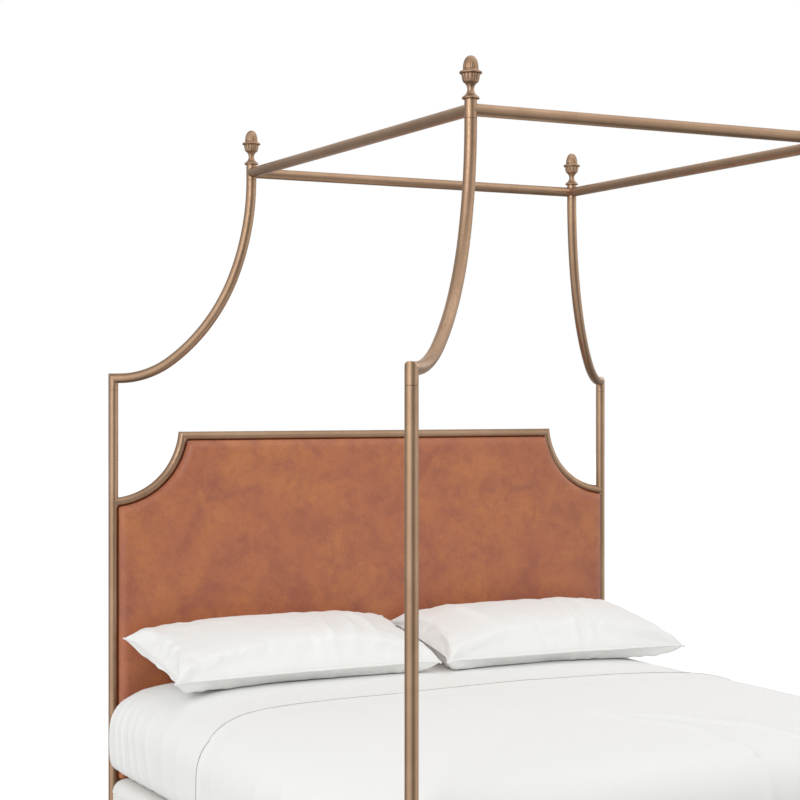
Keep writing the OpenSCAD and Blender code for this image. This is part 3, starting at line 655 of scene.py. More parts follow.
class BED_OT_dress_frame(bpy.types.Operator):
    """Give the metal, wood and plastic CAD parts their finishes"""

    bl_idname = "bed.dress_frame"
    bl_label = "Dress Frame"

    def execute(self, context):
        look = context.scene.bed_metal
        upright = bronze("bronze_brushed_upright", (900, 900, 40))
        across = bronze("bronze_brushed_across", (40, 900, 900))
        lengthwise = bronze("bronze_brushed_lengthwise", (900, 40, 900))
        swept = bronze("bronze_brushed_swept", (120, 120, 120))
        black = painted("blackened_steel", look.black, 0.5)
        plastic = painted("glide_plastic", srgb(30, 29, 28), 0.45, 900)
        zinc = plated("zinc_plate", look.zinc, 0.28)
        finishes = {
            "post_head_": upright,
            "post_foot_": upright,
            "coupler_": upright,
            "canopy_arm_": swept,
            "canopy_rail_left": lengthwise,
            "canopy_rail_right": lengthwise,
            "canopy_rail_head": across,
            "canopy_rail_foot": across,
            "headboard_top_rail": across,
            "headboard_bottom_rail": across,
            "headboard_scoop_": swept,
            "headboard_tabs": swept,
            "side_rail_": lengthwise,
            "head_rail": across,
            "foot_rail": across,
            "rail_brackets": swept,
            "post_sleeves": black,
            "arm_spigots": black,
            "canopy_rail_inserts": black,
            "centre_beam": black,
            "centre_legs": black,
            "glide_sockets": plastic,
            "glide_": plastic,
            "centre_feet": plastic,
            "finial_rod_": zinc,
            "headboard_screws": zinc,
            "frame_bolts": zinc,
            "rail_nuts": zinc,
            "headboard_panel": birch("birch_panel", (6, 60, 60)),
            "slats": birch("birch_slats", (5, 70, 70)),
            "headboard_back": felt("backing_felt", context.scene.bed_headboard.cloth),
        }
        for start in sorted(finishes, key=len):
            for name, node in NODES.items():
                if name.startswith(start):
                    node.data.materials.clear()
                    node.data.materials.append(finishes[start])
        return {"FINISHED"}


def arc(centre_r, centre_z, radius, start, end, steps):
    """Points (radius from the axis, height) round an arc, its angles in degrees from level outwards."""
    turns = np.radians(np.linspace(start, end, steps))
    return [(centre_r + radius * math.cos(t), centre_z + radius * math.sin(t)) for t in turns]


def finial_profile():
    """Outline of an urn finial in millimetres from its base: disc, cove, cup, rim and acorn."""
    disc = [(0.0, 0.0), (20.0, 0.0)] + arc(20, 2.5, 2.5, -80, 60, 7)
    cove = arc(28.6, 25, 20, 243, 118, 22)
    cup = [(20.4, 45.5), (21.2, 48.0), (22.4, 54.0), (23.3, 60.0), (23.8, 62.6)]
    rim = arc(25.6, 66.3, 3.3, -110, 100, 12)
    shoulder = [(23.0, 70.4), (21.4, 72.0), (19.9, 74.2)]
    neck = [(19.0, 75.2), (19.4, 76.2)]
    acorn = [
        (19.8 * math.cos(t) ** 0.86, 76.4 + 32.6 * math.sin(t))
        for t in np.linspace(0.03, math.pi / 2 - 0.05, 20)
    ]
    return disc + cove + cup + rim + shoulder + neck + acorn + [(0.0, 109.0)]


class BED_OT_cast_finials(bpy.types.Operator):
    """Model the four urn finials with flutes and acorn ribs"""

    bl_idname = "bed.cast_finials"
    bl_label = "Cast Finials"
    flutes: IntProperty(name="Flutes", description="Flutes round the cup", default=12, min=6)
    ribs: IntProperty(name="Ribs", description="Ribs round the acorn", default=16, min=6)
    around: IntProperty(name="Steps", description="Steps round the axis", default=144, min=24)

    def execute(self, context):
        material = cast_bronze("bronze_casting")
        outline = finial_profile()
        fine = [outline[0]]
        for (r0, z0), (r1, z1) in zip(outline, outline[1:]):
            steps = max(1, round(math.hypot(r1 - r0, z1 - z0) / 1.0))
            fine += [(r0 + (r1 - r0) * k / steps, z0 + (z1 - z0) * k / steps) for k in range(1, steps + 1)]
        for corner in CORNERS:
            self.cast(corner, fine, material)
        return {"FINISHED"}

    def cast(self, corner, outline, material):
        low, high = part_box("finial_" + corner)
        centre = (low + high) / 2
        scale = (high.z - low.z) / outline[-1][1]
        points, hollows, faces = [], [], []
        for radius, height in outline[1:-1]:
            cup = np.clip((height - 44.5) / 2, 0, 1) * np.clip((64.0 - height) / 2, 0, 1)
            dome = np.clip((height - 76.5) / 3, 0, 1) * np.clip((106 - height) / 14, 0, 1)
            for k in range(self.around):
                turn = 2 * math.pi * k / self.around
                flute = (1 - abs(math.cos(self.flutes * turn / 2))) ** 3
                rib = (1 - abs(math.cos(self.ribs * turn / 2 + height * 0.03))) ** 2
                depth = 1.9 * cup * flute + 0.9 * dome * rib
                reach = (radius - depth) * scale
                points.append((centre.x + reach * math.cos(turn), centre.y + reach * math.sin(turn),
                               low.z + height * scale))
                creased = 0.9 if 74.4 < height < 76.1 or (62.9 < height < 64.0) else 0.0
                hollows.append(max(creased, flute * cup, 0.8 * rib * dome))
        rings = len(outline) - 2
        for ring in range(rings - 1):
            for k in range(self.around):
                after = (k + 1) % self.around
                first, second = ring * self.around, (ring + 1) * self.around
                faces.append((first + k, first + after, second + after, second + k))
        for ring, height, order in ((0, low.z, 1), (rings - 1, high.z, -1)):
            points.append((centre.x, centre.y, height))
            hollows.append(0.0)
            tip = len(points) - 1
            for k in range(self.around):
                pair = (ring * self.around + k, ring * self.around + (k + 1) % self.around)
                faces.append((tip, *pair[::-order]))
        piece = new_piece(
            "finial_cast_" + corner, points, faces, material, "finial_" + corner
        )
        piece.data.attributes.new("hollow", "FLOAT", "POINT").data.foreach_set("value", hollows)
        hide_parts("finial_" + corner)


def board_depth(x, z, radius, centre_x, centre_z):
    """Distance from a place on the headboard in to its nearest edge."""
    sides = PAD_HIGH.x - np.abs(x)
    notch = np.hypot(np.abs(x) - centre_x, z - centre_z) - radius
    return np.minimum.reduce([sides, PAD_HIGH.z - z, z - PAD_LOW.z, notch])


def board_outline(inset, radius, centre_x, centre_z, pitch):
    """Points round the headboard's outline, moved in by an inset, about a pitch apart."""
    right, top, low = PAD_HIGH.x - inset, PAD_HIGH.z - inset, PAD_LOW.z + inset
    reach = radius + inset
    from_side = math.atan2(-math.sqrt(reach**2 - (centre_x - right) ** 2), right - centre_x)
    from_top = math.atan2(top - centre_z, -math.sqrt(reach**2 - (centre_z - top) ** 2))
    if from_top > 0:
        from_top -= 2 * math.pi
    turns = np.linspace(from_side, from_top, 1 + max(2, round(reach * (from_side - from_top) / pitch)))
    notch = [(centre_x + reach * math.cos(t), centre_z + reach * math.sin(t)) for t in turns]
    half = [(0.0, low), (right, low), *notch, (0.0, top)]
    whole = half + [(-x, z) for x, z in half[-2:0:-1]]
    points = []
    for (x0, z0), (x1, z1) in zip(whole, whole[1:] + whole[:1]):
        steps = max(1, round(math.hypot(x1 - x0, z1 - z0) / pitch))
        points += [(x0 + (x1 - x0) * k / steps, z0 + (z1 - z0) * k / steps) for k in range(steps)]
    return points


class BED_OT_upholster_headboard(bpy.types.Operator):
    """Stretch the leather over the headboard pad and staple the backing cloth"""

    bl_idname = "bed.upholster_headboard"
    bl_label = "Upholster Headboard"
    notch_radius: length("Notch radius", "Radius of the pad's scooped corners", 0.269, 0.1, 0.4)
    notch_out: length("Notch out", "Place of the scoops' centres, from the bed's middle", 0.954, 0.8, 1.1)
    notch_up: length("Notch up", "Height of the scoops' centres", 1.4665, 1.3, 1.6)
    pitch: length("Mesh pitch", "Distance between points on the leather", 0.013, 0.006, 0.05)

    def execute(self, context):
        look = context.scene.bed_headboard
        where = (self.notch_radius, self.notch_out, self.notch_up)
        rings = [look.edge * (1 - math.cos(math.radians(a))) for a in (0, 14, 28, 42, 56, 70, 84)]
        flat, loops = [], []
        for inset in [*rings, look.edge + 0.008]:
            ring = board_outline(inset, *where, 0.009)
            loops.append(range(len(flat), len(flat) + len(ring)))
            flat += ring
        xs = np.arange(PAD_LOW.x, PAD_HIGH.x, self.pitch)
        zs = np.arange(PAD_LOW.z, PAD_HIGH.z, self.pitch)
        grid_x, grid_z = (g.ravel() for g in np.meshgrid(xs, zs))
        inner = board_depth(grid_x, grid_z, *where) > look.edge + 0.016
        flat += list(zip(grid_x[inner], grid_z[inner]))
        edges = [(loop[k], loop[(k + 1) % len(loop)]) for loop in loops for k in range(len(loop))]
        found, _, faces, *_ = delaunay_2d_cdt([Vector(p) for p in flat], edges, [], 0, 1e-6)
        x, z = np.array([p.x for p in found]), np.array([p.y for p in found])
        depth = np.maximum(board_depth(x, z, *where), 0)
        faces = [f for f in faces if board_depth(x[list(f)].mean(), z[list(f)].mean(), *where) > 0]
        roll = np.clip(depth / look.edge, 0, 1)
        rise = (PAD_HIGH.y - PAD_LOW.y) - look.edge + look.edge * np.sqrt(1 - (1 - roll) ** 2)
        places = np.stack([x, np.zeros(len(x)), z], 1)
        swell = np.clip((depth - look.edge) / 0.25, 0, 1)
        crown = look.crown * (1 - (1 - swell) ** 2)
        tension = 0.0009 * waviness(places, 0.16, 3, 2) + 0.0004 * waviness(places, 0.05, 5, 2)
        pucker = 0.0007 * waviness(places, 0.018, 9, 2) * np.exp(-(((depth - 0.012) / 0.012) ** 2))
        y = PAD_HIGH.y - rise + look.crown - crown + (tension + pucker) * np.clip(depth / 0.01, 0, 1)
        front = np.stack([x, np.minimum(y, PAD_HIGH.y - 0.004), z], 1)
        inwards = np.stack([self.slope(x, z, where, 0), np.zeros(len(x)), self.slope(x, z, where, 1)], 1)
        front -= inwards * (look.overhang * (1 - roll) ** 1.5)[:, None]
        mesh = bmesh.new()
        verts = [mesh.verts.new(p) for p in front]
        for face in faces:
            mesh.faces.new([verts[k] for k in face])
        rim = [e for e in mesh.edges if e.is_boundary]
        wall = bmesh.ops.extrude_edge_only(mesh, edges=rim)["geom"]
        for v in (v for v in wall if isinstance(v, bmesh.types.BMVert)):
            spot = np.array([[v.co.x], [v.co.z]])
            v.co.x += self.slope(*spot, where, 0)[0] * look.overhang
            v.co.z += self.slope(*spot, where, 1)[0] * look.overhang
            v.co.y = PAD_HIGH.y
        loose = [e for e in mesh.edges if e.is_boundary]
        bmesh.ops.contextual_create(mesh, geom=loose)
        bmesh.ops.recalc_face_normals(mesh, faces=mesh.faces)
        data = bpy.data.meshes.new("headboard_leather")
        mesh.to_mesh(data)
        mesh.free()
        pad = bpy.data.objects.new("headboard_leather", data)
        context.scene.collection.objects.link(pad)
        data.materials.append(mottled_leather("cognac_leather"))
        for face in data.polygons:
            face.use_smooth = len(face.vertices) < 5
        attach(pad, "bed_frame")
        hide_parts("headboard_pad")
        self.staple_back(context, look, where)
        return {"FINISHED"}

    @staticmethod
    def slope(x, z, where, axis):
        """Share of the way inwards, from the pad's nearest edge, that lies along X or along Z."""
        reach = 0.002
        ahead, behind = [
            board_depth(x + way * (axis == 0), z + way * (axis == 1), *where) for way in (reach, -reach)
        ]
        return np.clip((ahead - behind) / (2 * reach), -1, 1)

    def staple_back(self, context, look, where):
        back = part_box("headboard_back")[1].y + 0.0003
        ring = board_outline(0.012, *where, 0.02)
        along_path(
            "backing_staples", stitch_tree(), [(x, back, z) for x, z in ring], True,
            "zinc_fastener", "bed_frame",
            Pitch=look.staple_pitch, Radius=0.0005, Share=0.25,
            Material=plated("staple_wire", srgb(168, 168, 164), 0.35),
        )


def rounded_plan(half_w, half_l, corner, inset, pitch=0.03):
    """Points round a rectangle with round corners, moved in by an inset, which keeps their count."""
    points = []
    turns = 10
    for sx, sy, start in ((1, 1, 0), (-1, 1, 90), (-1, -1, 180), (1, -1, 270)):
        radius = max(corner - inset, corner * 0.12)
        cx, cy = sx * (half_w - inset - radius), sy * (half_l - inset - radius)
        for k in range(turns + 1):
            a = math.radians(start + 90 * k / turns)
            points.append((cx + radius * math.cos(a), cy + radius * math.sin(a)))
    steps = [max(1, round(2 * (half_l if i % 2 else half_w) / pitch)) for i in range(4)]
    whole = []
    for side in range(4):
        run = points[side * (turns + 1) : (side + 1) * (turns + 1)]
        after = points[((side + 1) * (turns + 1)) % len(points)]
        whole += run
        (x0, y0), (x1, y1) = run[-1], after
        whole += [
            (x0 + (x1 - x0) * k / steps[side], y0 + (y1 - y0) * k / steps[side])
            for k in range(1, steps[side])
        ]
    return whole


def stacked_form(profile, half_w, half_l, corner, middle):
    """Points and faces of a closed form built from rings; the profile lists each ring's inset and height."""
    points, faces = [], []
    count = 0
    for inset, height in profile:
        ring = rounded_plan(half_w, half_l, corner, inset)
        count = len(ring)
        points += [(middle.x + x, middle.y + y, height) for x, y in ring]
    for ring in range(len(profile) - 1):
        for k in range(count):
            after = (k + 1) % count
            lower, upper = ring * count, (ring + 1) * count
            faces.append((lower + k, lower + after, upper + after, upper + k))
    faces.append(tuple(range(count))[::-1])
    faces.append(tuple(range((len(profile) - 1) * count, len(profile) * count)))
    return np.array(points), faces


class BED_OT_cover_box_spring(bpy.types.Operator):
    """Cover the box spring in cloth, with corded edges"""

    bl_idname = "bed.cover_box_spring"
    bl_label = "Cover Box Spring"
    top_edge: length("Top edge", "Radius of the rounded top edge", 0.034, 0.01, 0.06)
    foot_edge: length("Foot edge", "Radius of the lower edge", 0.012, 0.004, 0.03)
    corner: length("Corner", "Radius of the corners, seen from above", 0.07, 0.03, 0.15)

    def execute(self, context):
        look = context.scene.bed_linen
        half_w = (SPRING_HIGH.x - SPRING_LOW.x) / 2
        half_l = (SPRING_HIGH.y - SPRING_LOW.y) / 2
        middle = (SPRING_LOW + SPRING_HIGH) / 2
        low, high = SPRING_LOW.z, SPRING_HIGH.z
        profile = [(i, low) for i in (0.4, 0.2, 0.08, self.foot_edge)]
        for a in (30, 60, 90):
            t = math.radians(a)
            profile.append((self.foot_edge * (1 - math.sin(t)), low + self.foot_edge * (1 - math.cos(t))))
        side = np.linspace(low + self.foot_edge, high - self.top_edge, 9)[1:]
        profile += [(0.0, z) for z in side]
        for a in np.linspace(0, 90, 9)[1:]:
            t = math.radians(a)
            profile.append((self.top_edge * (1 - math.cos(t)), high - self.top_edge * (1 - math.sin(t))))
        profile += [(i, high) for i in (0.08, 0.2, 0.4)]
        points, faces = stacked_form(profile, half_w, half_l, self.corner, middle)
        edge = np.clip((points[:, 2] - low) / 0.02, 0, 1) * np.clip((high - points[:, 2]) / 0.01, 0, 1)
        out = points[:, :2] - np.array(middle)[:2]
        out /= np.maximum(np.linalg.norm(out, axis=1), 1e-9)[:, None]
        points[:, :2] -= out * (0.0012 * edge * (1 + waviness(points, 0.11, 21, 2)))[:, None]
        cloth = cotton("box_spring_cloth", look.ticking, 900, 0.0008)
        cover = new_piece("box_spring_cover", points, faces, cloth, "box_spring")
        unfold(cover)
        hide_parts("box_spring")
        cord = cord_tree()
        for label, height in (("lower", low + 0.016), ("upper", high - self.top_edge)):
            ring = rounded_plan(half_w, half_l, self.corner, 0.0012)
            along_path(
                f"box_spring_{label}_cord", cord,
                [(middle.x + x, middle.y + y, height) for x, y in ring], True,
                "box_spring_cloth", "box_spring", Radius=0.0022, Sides=8, Material=cloth,
            )
        return {"FINISHED"}


class BED_OT_stuff_mattress(bpy.types.Operator):
    """Make the mattress as a soft form in ticking"""

    bl_idname = "bed.stuff_mattress"
    bl_label = "Stuff Mattress"

    def execute(self, context):
        look = context.scene.bed_linen
        box, quads = unit_box((66, 68, 12))
        points = mattress_points(box, -0.002)
        ticking = cotton("mattress_ticking", look.ticking, 700, 0.0012)
        mattress = new_piece("mattress_ticking", points, quads, ticking, "mattress")
        unfold(mattress)
        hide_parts("mattress")
        return {"FINISHED"}


def fitted_creases(points):
    """How far the fitted sheet stands off the mattress, in metres."""
    lines = []
    for x in (MATTRESS_LOW.x, MATTRESS_HIGH.x):
        for y, lean, width, height in (
            (0.965, 0.0, 0.007, 0.004), (0.915, 0.03, 0.007, 0.0045), (0.865, 0.05, 0.007, 0.006),
            (0.81, 0.08, 0.006, 0.0045), (0.755, 0.10, 0.008, 0.004), (0.66, 0.10, 0.014, 0.003),
            (0.50, 0.06, 0.022, 0.0025), (0.36, 0.02, 0.02, 0.002),
        ):
            lines.append((((x, y, 0.625), (x, y - lean * 0.3, 0.5), (x, y - lean, 0.35)), width, height))
        for share, lean, height in (
            (0.96, 0.0, 0.004), (0.9, 0.03, 0.0045), (0.82, 0.04, 0.0035), (0.7, 0.05, 0.002),
        ):
            y = MATTRESS_HIGH.y
            lines.append((((share * x, y, 0.62), ((share - lean) * x, y, 0.36)), 0.01, height))
    creases = folds(boxed(points), lines)
    under_flat = np.clip((points[:, 1] - HEM_Y) / 0.05, 0, 1)
    soft = 0.0012 * (1 + waviness(points, 0.22, 4, 3))
    return (creases + soft) * under_flat


class BED_OT_fit_sheet(bpy.types.Operator):
    """Stretch the fitted sheet over the mattress, gathered underneath"""

    bl_idname = "bed.fit_sheet"
    bl_label = "Fit Sheet"
    tuck: length("Tuck", "How far the sheet reaches in under the mattress", 0.06, 0.02, 0.2)
    stand_off: length("Stand-off", "Gap between the mattress and the sheet", 0.0006, 0.0002, 0.003)

    def execute(self, context):
        look = context.scene.bed_linen
        box, quads = unit_box((140, 210, 34), lean=0.3)
        base = mattress_points(box, self.stand_off)
        middle = base[quads].mean(1)
        away = np.abs(middle - np.array(MIDDLE))
        open_under = (
            (middle[:, 2] < MIDDLE.z) & (away[:, 0] < HALF_W - self.tuck) & (away[:, 1] < HALF_L - self.tuck)
        )
        normals = outward(base, quads)
        points = base + normals * fitted_creases(base)[:, None]
        points, kept = used_only(points, quads[~open_under])
        cloth = cotton("fitted_cotton", look.white, 1600)
        sheet = new_piece("fitted_sheet_cotton", points, kept, cloth, "mattress")
        unfold(sheet)
        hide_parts("fitted_sheet")
        return {"FINISHED"}


class BED_OT_lay_flat_sheet(bpy.types.Operator):
    """Lay the flat sheet over the foot end, hemmed and tucked in"""

    bl_idname = "bed.lay_flat_sheet"
    bl_label = "Lay Flat Sheet"
    stand_off: length("Stand-off", "Gap between the mattress and the sheet", 0.0026, 0.001, 0.006)
    tuck_z: length("Tuck", "How far above the mattress's underside the sheet turns in", 0.012, 0.0, 0.05)

    def execute(self, context):
        look = context.scene.bed_linen
        box, quads = unit_box((190, 190, 36))
        base = mattress_points(box, self.stand_off)
        normals = outward(base, quads)
        points = base + normals * self.creases(base)[:, None]
        mesh = bmesh.new()
        verts = [mesh.verts.new(p) for p in points]
        for quad in quads:
            mesh.faces.new([verts[k] for k in quad])
        cuts = ((Vector((0, HEM_Y, 0)), Vector((0, 1, 0))),
                (Vector((0, 0, MATTRESS_LOW.z + self.tuck_z)), Vector((0, 0, -1))))
        for spot, way in cuts:
            bmesh.ops.bisect_plane(
                mesh, geom=[*mesh.verts, *mesh.edges, *mesh.faces],
                plane_co=spot, plane_no=way, clear_outer=True,
            )
        fold = HEM_Y - look.hem_w
        bmesh.ops.bisect_plane(
            mesh, geom=[*mesh.verts, *mesh.edges, *mesh.faces], plane_co=(0, fold, 0), plane_no=(0, 1, 0)
        )
        mesh.normal_update()
        for v in [v for v in mesh.verts if v.co.y > fold - 0.0001]:
            v.co += v.normal * (0.0001 + 0.004 * max(0.0, 1 - (HEM_Y - v.co.y) / 0.025))
        seam = [v for v in mesh.verts if abs(v.co.y - fold) < 1e-4]
        seam.sort(key=lambda v: math.atan2(v.co.x, v.co.z - MATTRESS_LOW.z))
        path = [v.co + v.normal * (look.sheet_t + 0.0002) for v in seam]
        # The hem's edge gets a thin thread whose grey is painted shadow, laid where the raised hem throws its
        # shade line
        edge = sorted((v for v in mesh.verts if abs(v.co.y - HEM_Y) < 1e-4), key=lambda v: v.co.x)
        edge = [v for v in edge if v.co.z > MATTRESS_LOW.z + 0.03]
        edge.sort(key=lambda v: math.atan2(v.co.x, v.co.z - MATTRESS_LOW.z))
        rim = [v.co + v.normal * (look.sheet_t + look.hem_edge) for v in edge]
        for v in mesh.verts:
            v.co.y += self.hem_wander(v.co)
        path, rim = [[p + Vector((0, self.hem_wander(p), 0)) for p in run] for run in (path, rim)]
        data = bpy.data.meshes.new("flat_sheet_cotton")
        mesh.to_mesh(data)
        mesh.free()
        cloth = cotton("flat_cotton", look.white, 1600)
        data.materials.append(cloth)
        data.polygons.foreach_set("use_smooth", [True] * len(data.polygons))
        sheet = bpy.data.objects.new("flat_sheet_cotton", data)
        context.scene.collection.objects.link(sheet)
        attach(sheet, "mattress")
        unfold(sheet)
        thicken(sheet, look.sheet_t)
        stitches = along_path(
            "flat_sheet_stitches", stitch_tree(), path, False, "flat_linen", "mattress",
            Pitch=look.stitch, Radius=0.0003, Share=0.55, Material=painted("hem_thread", look.thread, 0.7),
        )
        # A real thread along the hem's edge, coloured grey as painted shadow for the shade behind the raised
        # hem
        edging_with_painted_shadow = along_path(
            "flat_sheet_edging_painted_shadow", cord_tree(), rim, False, "flat_linen", "mattress",
            Radius=look.hem_edge, Sides=6, Material=painted("edging_thread_painted_shadow", look.edging_shadow_grey, 0.8),
        )
        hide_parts("flat_sheet")
        return {"FINISHED"}

    @staticmethod
    def hem_wander(point):
        """How far the hem end strays from a straight line, fading away from the hem."""
        fade = min(1.0, max(0.0, 1 - (HEM_Y - point[1]) / 0.6))
        bow = 0.07 * math.exp(-(((point[0] - 0.15) / 0.5) ** 2))
        bow += 0.006 * noise.noise(Vector((point[0] * 3, 2.2, 0)))
        hang = min(1.0, max(0.0, (MATTRESS_HIGH.z - 0.01 - point[2]) / 0.06))
        return fade * (bow - 0.045 * hang)

    @staticmethod
    def creases(points):
        """How far the flat sheet stands off, in metres."""
        top, end, low = MATTRESS_HIGH.z, MATTRESS_LOW.y, 0.36
        lines = [
            (((0.02, -0.30, top), (0.12, -0.62, top), (0.10, end, top)), 0.014, 0.016),
            (((0.10, end, 0.63), (0.07, end, low)), 0.014, 0.006),
            (((0.02, -0.30, top), (0.20, -0.50, top), (0.29, -0.70, top), (0.36, end, top)), 0.015, 0.016),
            (((0.36, end, 0.63), (0.40, end, low)), 0.014, 0.006),
            (((0.24, -0.62, top), (0.40, -0.80, top), (0.47, end, top)), 0.013, 0.011),
            (((-0.35, 0.0, top), (0.02, -0.30, top)), 0.035, 0.002),
            (((-0.62, -0.20, top), (-0.84, -0.5, top)), 0.035, 0.0025),
            (((-0.20, -0.72, top), (-0.14, end, top)), 0.018, 0.004),
        ]
        for x in (MATTRESS_LOW.x, MATTRESS_HIGH.x):
            for k in range(5):
                y = -0.22 - 0.17 * k
                width, height = 0.018 + 0.003 * k, 0.0025 + 0.0012 * (k % 2)
                lines.append((((x, y, 0.6), (x, y - 0.05, low)), width, height))
            lines.append((((0.9 * x, -0.86, top), (x, end + 0.04, 0.5)), 0.02, 0.008))
            lines.append((((0.82 * x, -0.94, top), (0.92 * x, end, 0.4)), 0.016, 0.006))
        return folds(boxed(points), lines) + 0.0014 * (1 + waviness(points, 0.3, 8, 4))


def sewn_layers(width, depth, rise, steps_w, steps_d, seed):
    """Two layers of cloth sewn together round the edge: points, faces and the seam's points."""
    index, points, faces = {}, [], []

    def corner(i, j, side):
        rim = i in (0, steps_w) or j in (0, steps_d)
        key = (i, j, 0 if rim else side)
        if key not in index:
            s, t = 2 * i / steps_w - 1, 2 * j / steps_d - 1
            u, v = s * (1.25 - 0.25 * s * s), t * (1.3 - 0.3 * t * t)
            square, round_off = (2.5, 0.58) if side > 0 else (2.0, 0.9)
            puff = rise[side] * ((1 - abs(u) ** 2.7) ** 0.72) * ((1 - abs(v) ** square) ** round_off)
            puff += 0.0025 * noise.noise(Vector((u * 9, v * 5, seed + side)))
            index[key] = len(points)
            x = u * width / 2 * (1 - 0.022 * (1 - v * v))
            y = v * depth / 2 * (1 - 0.05 * (1 - u * u) ** 2)
            points.append((x, y, 0 if rim else side * puff))
        return index[key]

    for i in range(steps_w):
        for j in range(steps_d):
            faces.append([corner(i, j, 1), corner(i + 1, j, 1), corner(i + 1, j + 1, 1), corner(i, j + 1, 1)])
            faces.append(
                [corner(i, j, -1), corner(i, j + 1, -1), corner(i + 1, j + 1, -1), corner(i + 1, j, -1)]
            )
    rim = [(i, 0) for i in range(steps_w)] + [(steps_w, j) for j in range(steps_d)]
    rim += [(i, steps_d) for i in range(steps_w, 0, -1)] + [(0, j) for j in range(steps_d, 0, -1)]
    return np.array(points), faces, [index[(i, j, 0)] for i, j in rim]


def inflate(points, faces, pressure, slack, cap=0.03, frames=20):
    """Fills a sewn shell with air by cloth simulation; slack is spare cloth, cap the most a point moves."""
    scene = bpy.context.scene
    mesh = bpy.data.meshes.new("sewing")
    mesh.from_pydata([tuple(p) for p in points], [], faces)
    shell = bpy.data.objects.new("sewing", mesh)
    scene.collection.objects.link(shell)
    cloth = shell.modifiers.new("air", "CLOTH")
    settings = cloth.settings
    settings.quality = 5
    settings.mass = 0.25
    settings.use_pressure = True
    settings.uniform_pressure_force = pressure
    settings.shrink_min = -slack
    settings.tension_stiffness = 30
    settings.compression_stiffness = 30
    settings.shear_stiffness = 10
    settings.bending_stiffness = 0.2
    settings.effector_weights.gravity = 0
    cloth.point_cache.frame_start = 1
    cloth.point_cache.frame_end = frames
    for step in range(1, frames + 1):
        scene.frame_set(step)
    ready = shell.evaluated_get(bpy.context.evaluated_depsgraph_get())
    filled = np.array([v.co for v in ready.data.vertices])
    bpy.data.objects.remove(shell)
    bpy.data.meshes.remove(mesh)
    scene.frame_set(1)
    moved = filled - points
    far = np.linalg.norm(moved, axis=1)
    return points + moved * np.minimum(1, cap / np.maximum(far, 1e-9))[:, None]


class BED_OT_fill_pillows(bpy.types.Operator):
    """Sew, fill and place the two pillows in their corded cases"""

    bl_idname = "bed.fill_pillows"
    bl_label = "Fill Pillows"
    depth: length("Depth", "Depth of a filled pillow", 0.455, 0.3, 0.6)
    above: length("Above", "Height of a pillow's crown above its seam", 0.074, 0.04, 0.14)
    below: length("Below", "Depth of a pillow's belly below its seam", 0.044, 0.02, 0.1)
    seam_rise: length("Seam", "Height of the front seam above the sheet", 0.034, 0.01, 0.1)

    def execute(self, context):
        look = context.scene.bed_linen
        cloth = cotton("pillow_cotton", look.white, 1600)
        ticking = cotton("pillow_down_proof", look.white, 1200)
        cord = cord_tree()
        for name, side in SIDES.items():
            middle, width, skew = PILLOWS[name]
            rise = {1: self.above, -1: self.below}
            points, faces, seam = sewn_layers(width, self.depth, rise, 120, 56, 3.0 + side)
            points = inflate(points, faces, look.pressure, look.slack)
            points = self.shape(points, look, name, middle, width, skew)
            body = "pillow_" + name
            case = new_piece(f"pillow_case_cotton_{name}", points, faces, cloth, body)
            smooth = case.modifiers.new("finer", "SUBSURF")
            smooth.levels = smooth.render_levels = 1
            unfold(case)
            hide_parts("pillow_case_" + name)
            inner = points - outward(points, np.array(faces)) * 0.004
            insert = new_piece(f"pillow_insert_{name}", inner, faces, ticking, body)
            unfold(insert)
            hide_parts(body)
            along_path(
                f"pillow_cord_{name}", cord, points[seam], True, "pillow_linen", body,
                Radius=look.cord_r, Sides=8, Material=cloth,
            )
        return {"FINISHED"}

    def shape(self, points, look, name, middle, width, skew):
        """Brings a filled pillow to its size and folds, leans it back, skews its front edge and rests it."""
        points = points - (points.max(0) + points.min(0)) / 2 * np.array((1, 1, 0))
        points[:, 0] *= width / np.ptp(points[:, 0])
        points[:, 1] *= self.depth / np.ptp(points[:, 1])
        u, v = points[:, 0] / (width / 2), points[:, 1] / (self.depth / 2)
        lift = self.gathers(u, v, name) * np.clip(points[:, 2] / 0.03, -1, 1)
        z = points[:, 2] + lift
        tall = points[:, 1] * math.sin(look.pillow_tilt) + z * math.cos(look.pillow_tilt)
        back = (v + 1) / 2 * self.depth * math.cos(look.pillow_tilt) - z * math.sin(look.pillow_tilt)
        rear = PAD_LOW.y - PILLOW_TO_PAD
        front = rear - self.depth * math.cos(look.pillow_tilt) + skew * u - PILLOW_FORWARD
        y = front + back * (rear - front) / (self.depth * math.cos(look.pillow_tilt))
        y = np.minimum(y, rear)
        x = points[:, 0] + middle
        seam = MATTRESS_HIGH.z + self.seam_rise + self.depth / 2 * math.sin(look.pillow_tilt)
        floor = sheet_height(x, y, PILLOW_TO_CROWN)
        return np.stack([x, y, np.maximum(seam + tall, floor)], 1)

    @staticmethod
    def gathers(u, v, name):
        """Soft folds that run from front to back, and short gathers along the end seams, in metres."""
        spots = (0.26, 0.40, 0.52) if name == "left" else (0.18, 0.30, 0.38, -0.55)
        total = np.zeros(len(u))
        for k, spot in enumerate(spots):
            away = u - spot - 0.05 * np.sin(2.4 * v + k)
            run = np.exp(-(((v + 0.45 - 0.2 * k) / 0.55) ** 2))
            total += 0.013 * run * np.exp(-((away / (0.028 + 0.006 * k)) ** 2))
        ends = np.exp(-(((1 - np.abs(u)) / 0.16) ** 2))
        total += 0.003 * ends * np.sin(v * 21 + 1.3 * np.sin(v * 6)) * (1 - v**2)
        sides = np.exp(-(((1 - np.abs(v)) / 0.3) ** 2))
        return total + 0.003 * sides * np.sin(u * 46 + 2.1 * np.sin(u * 9))


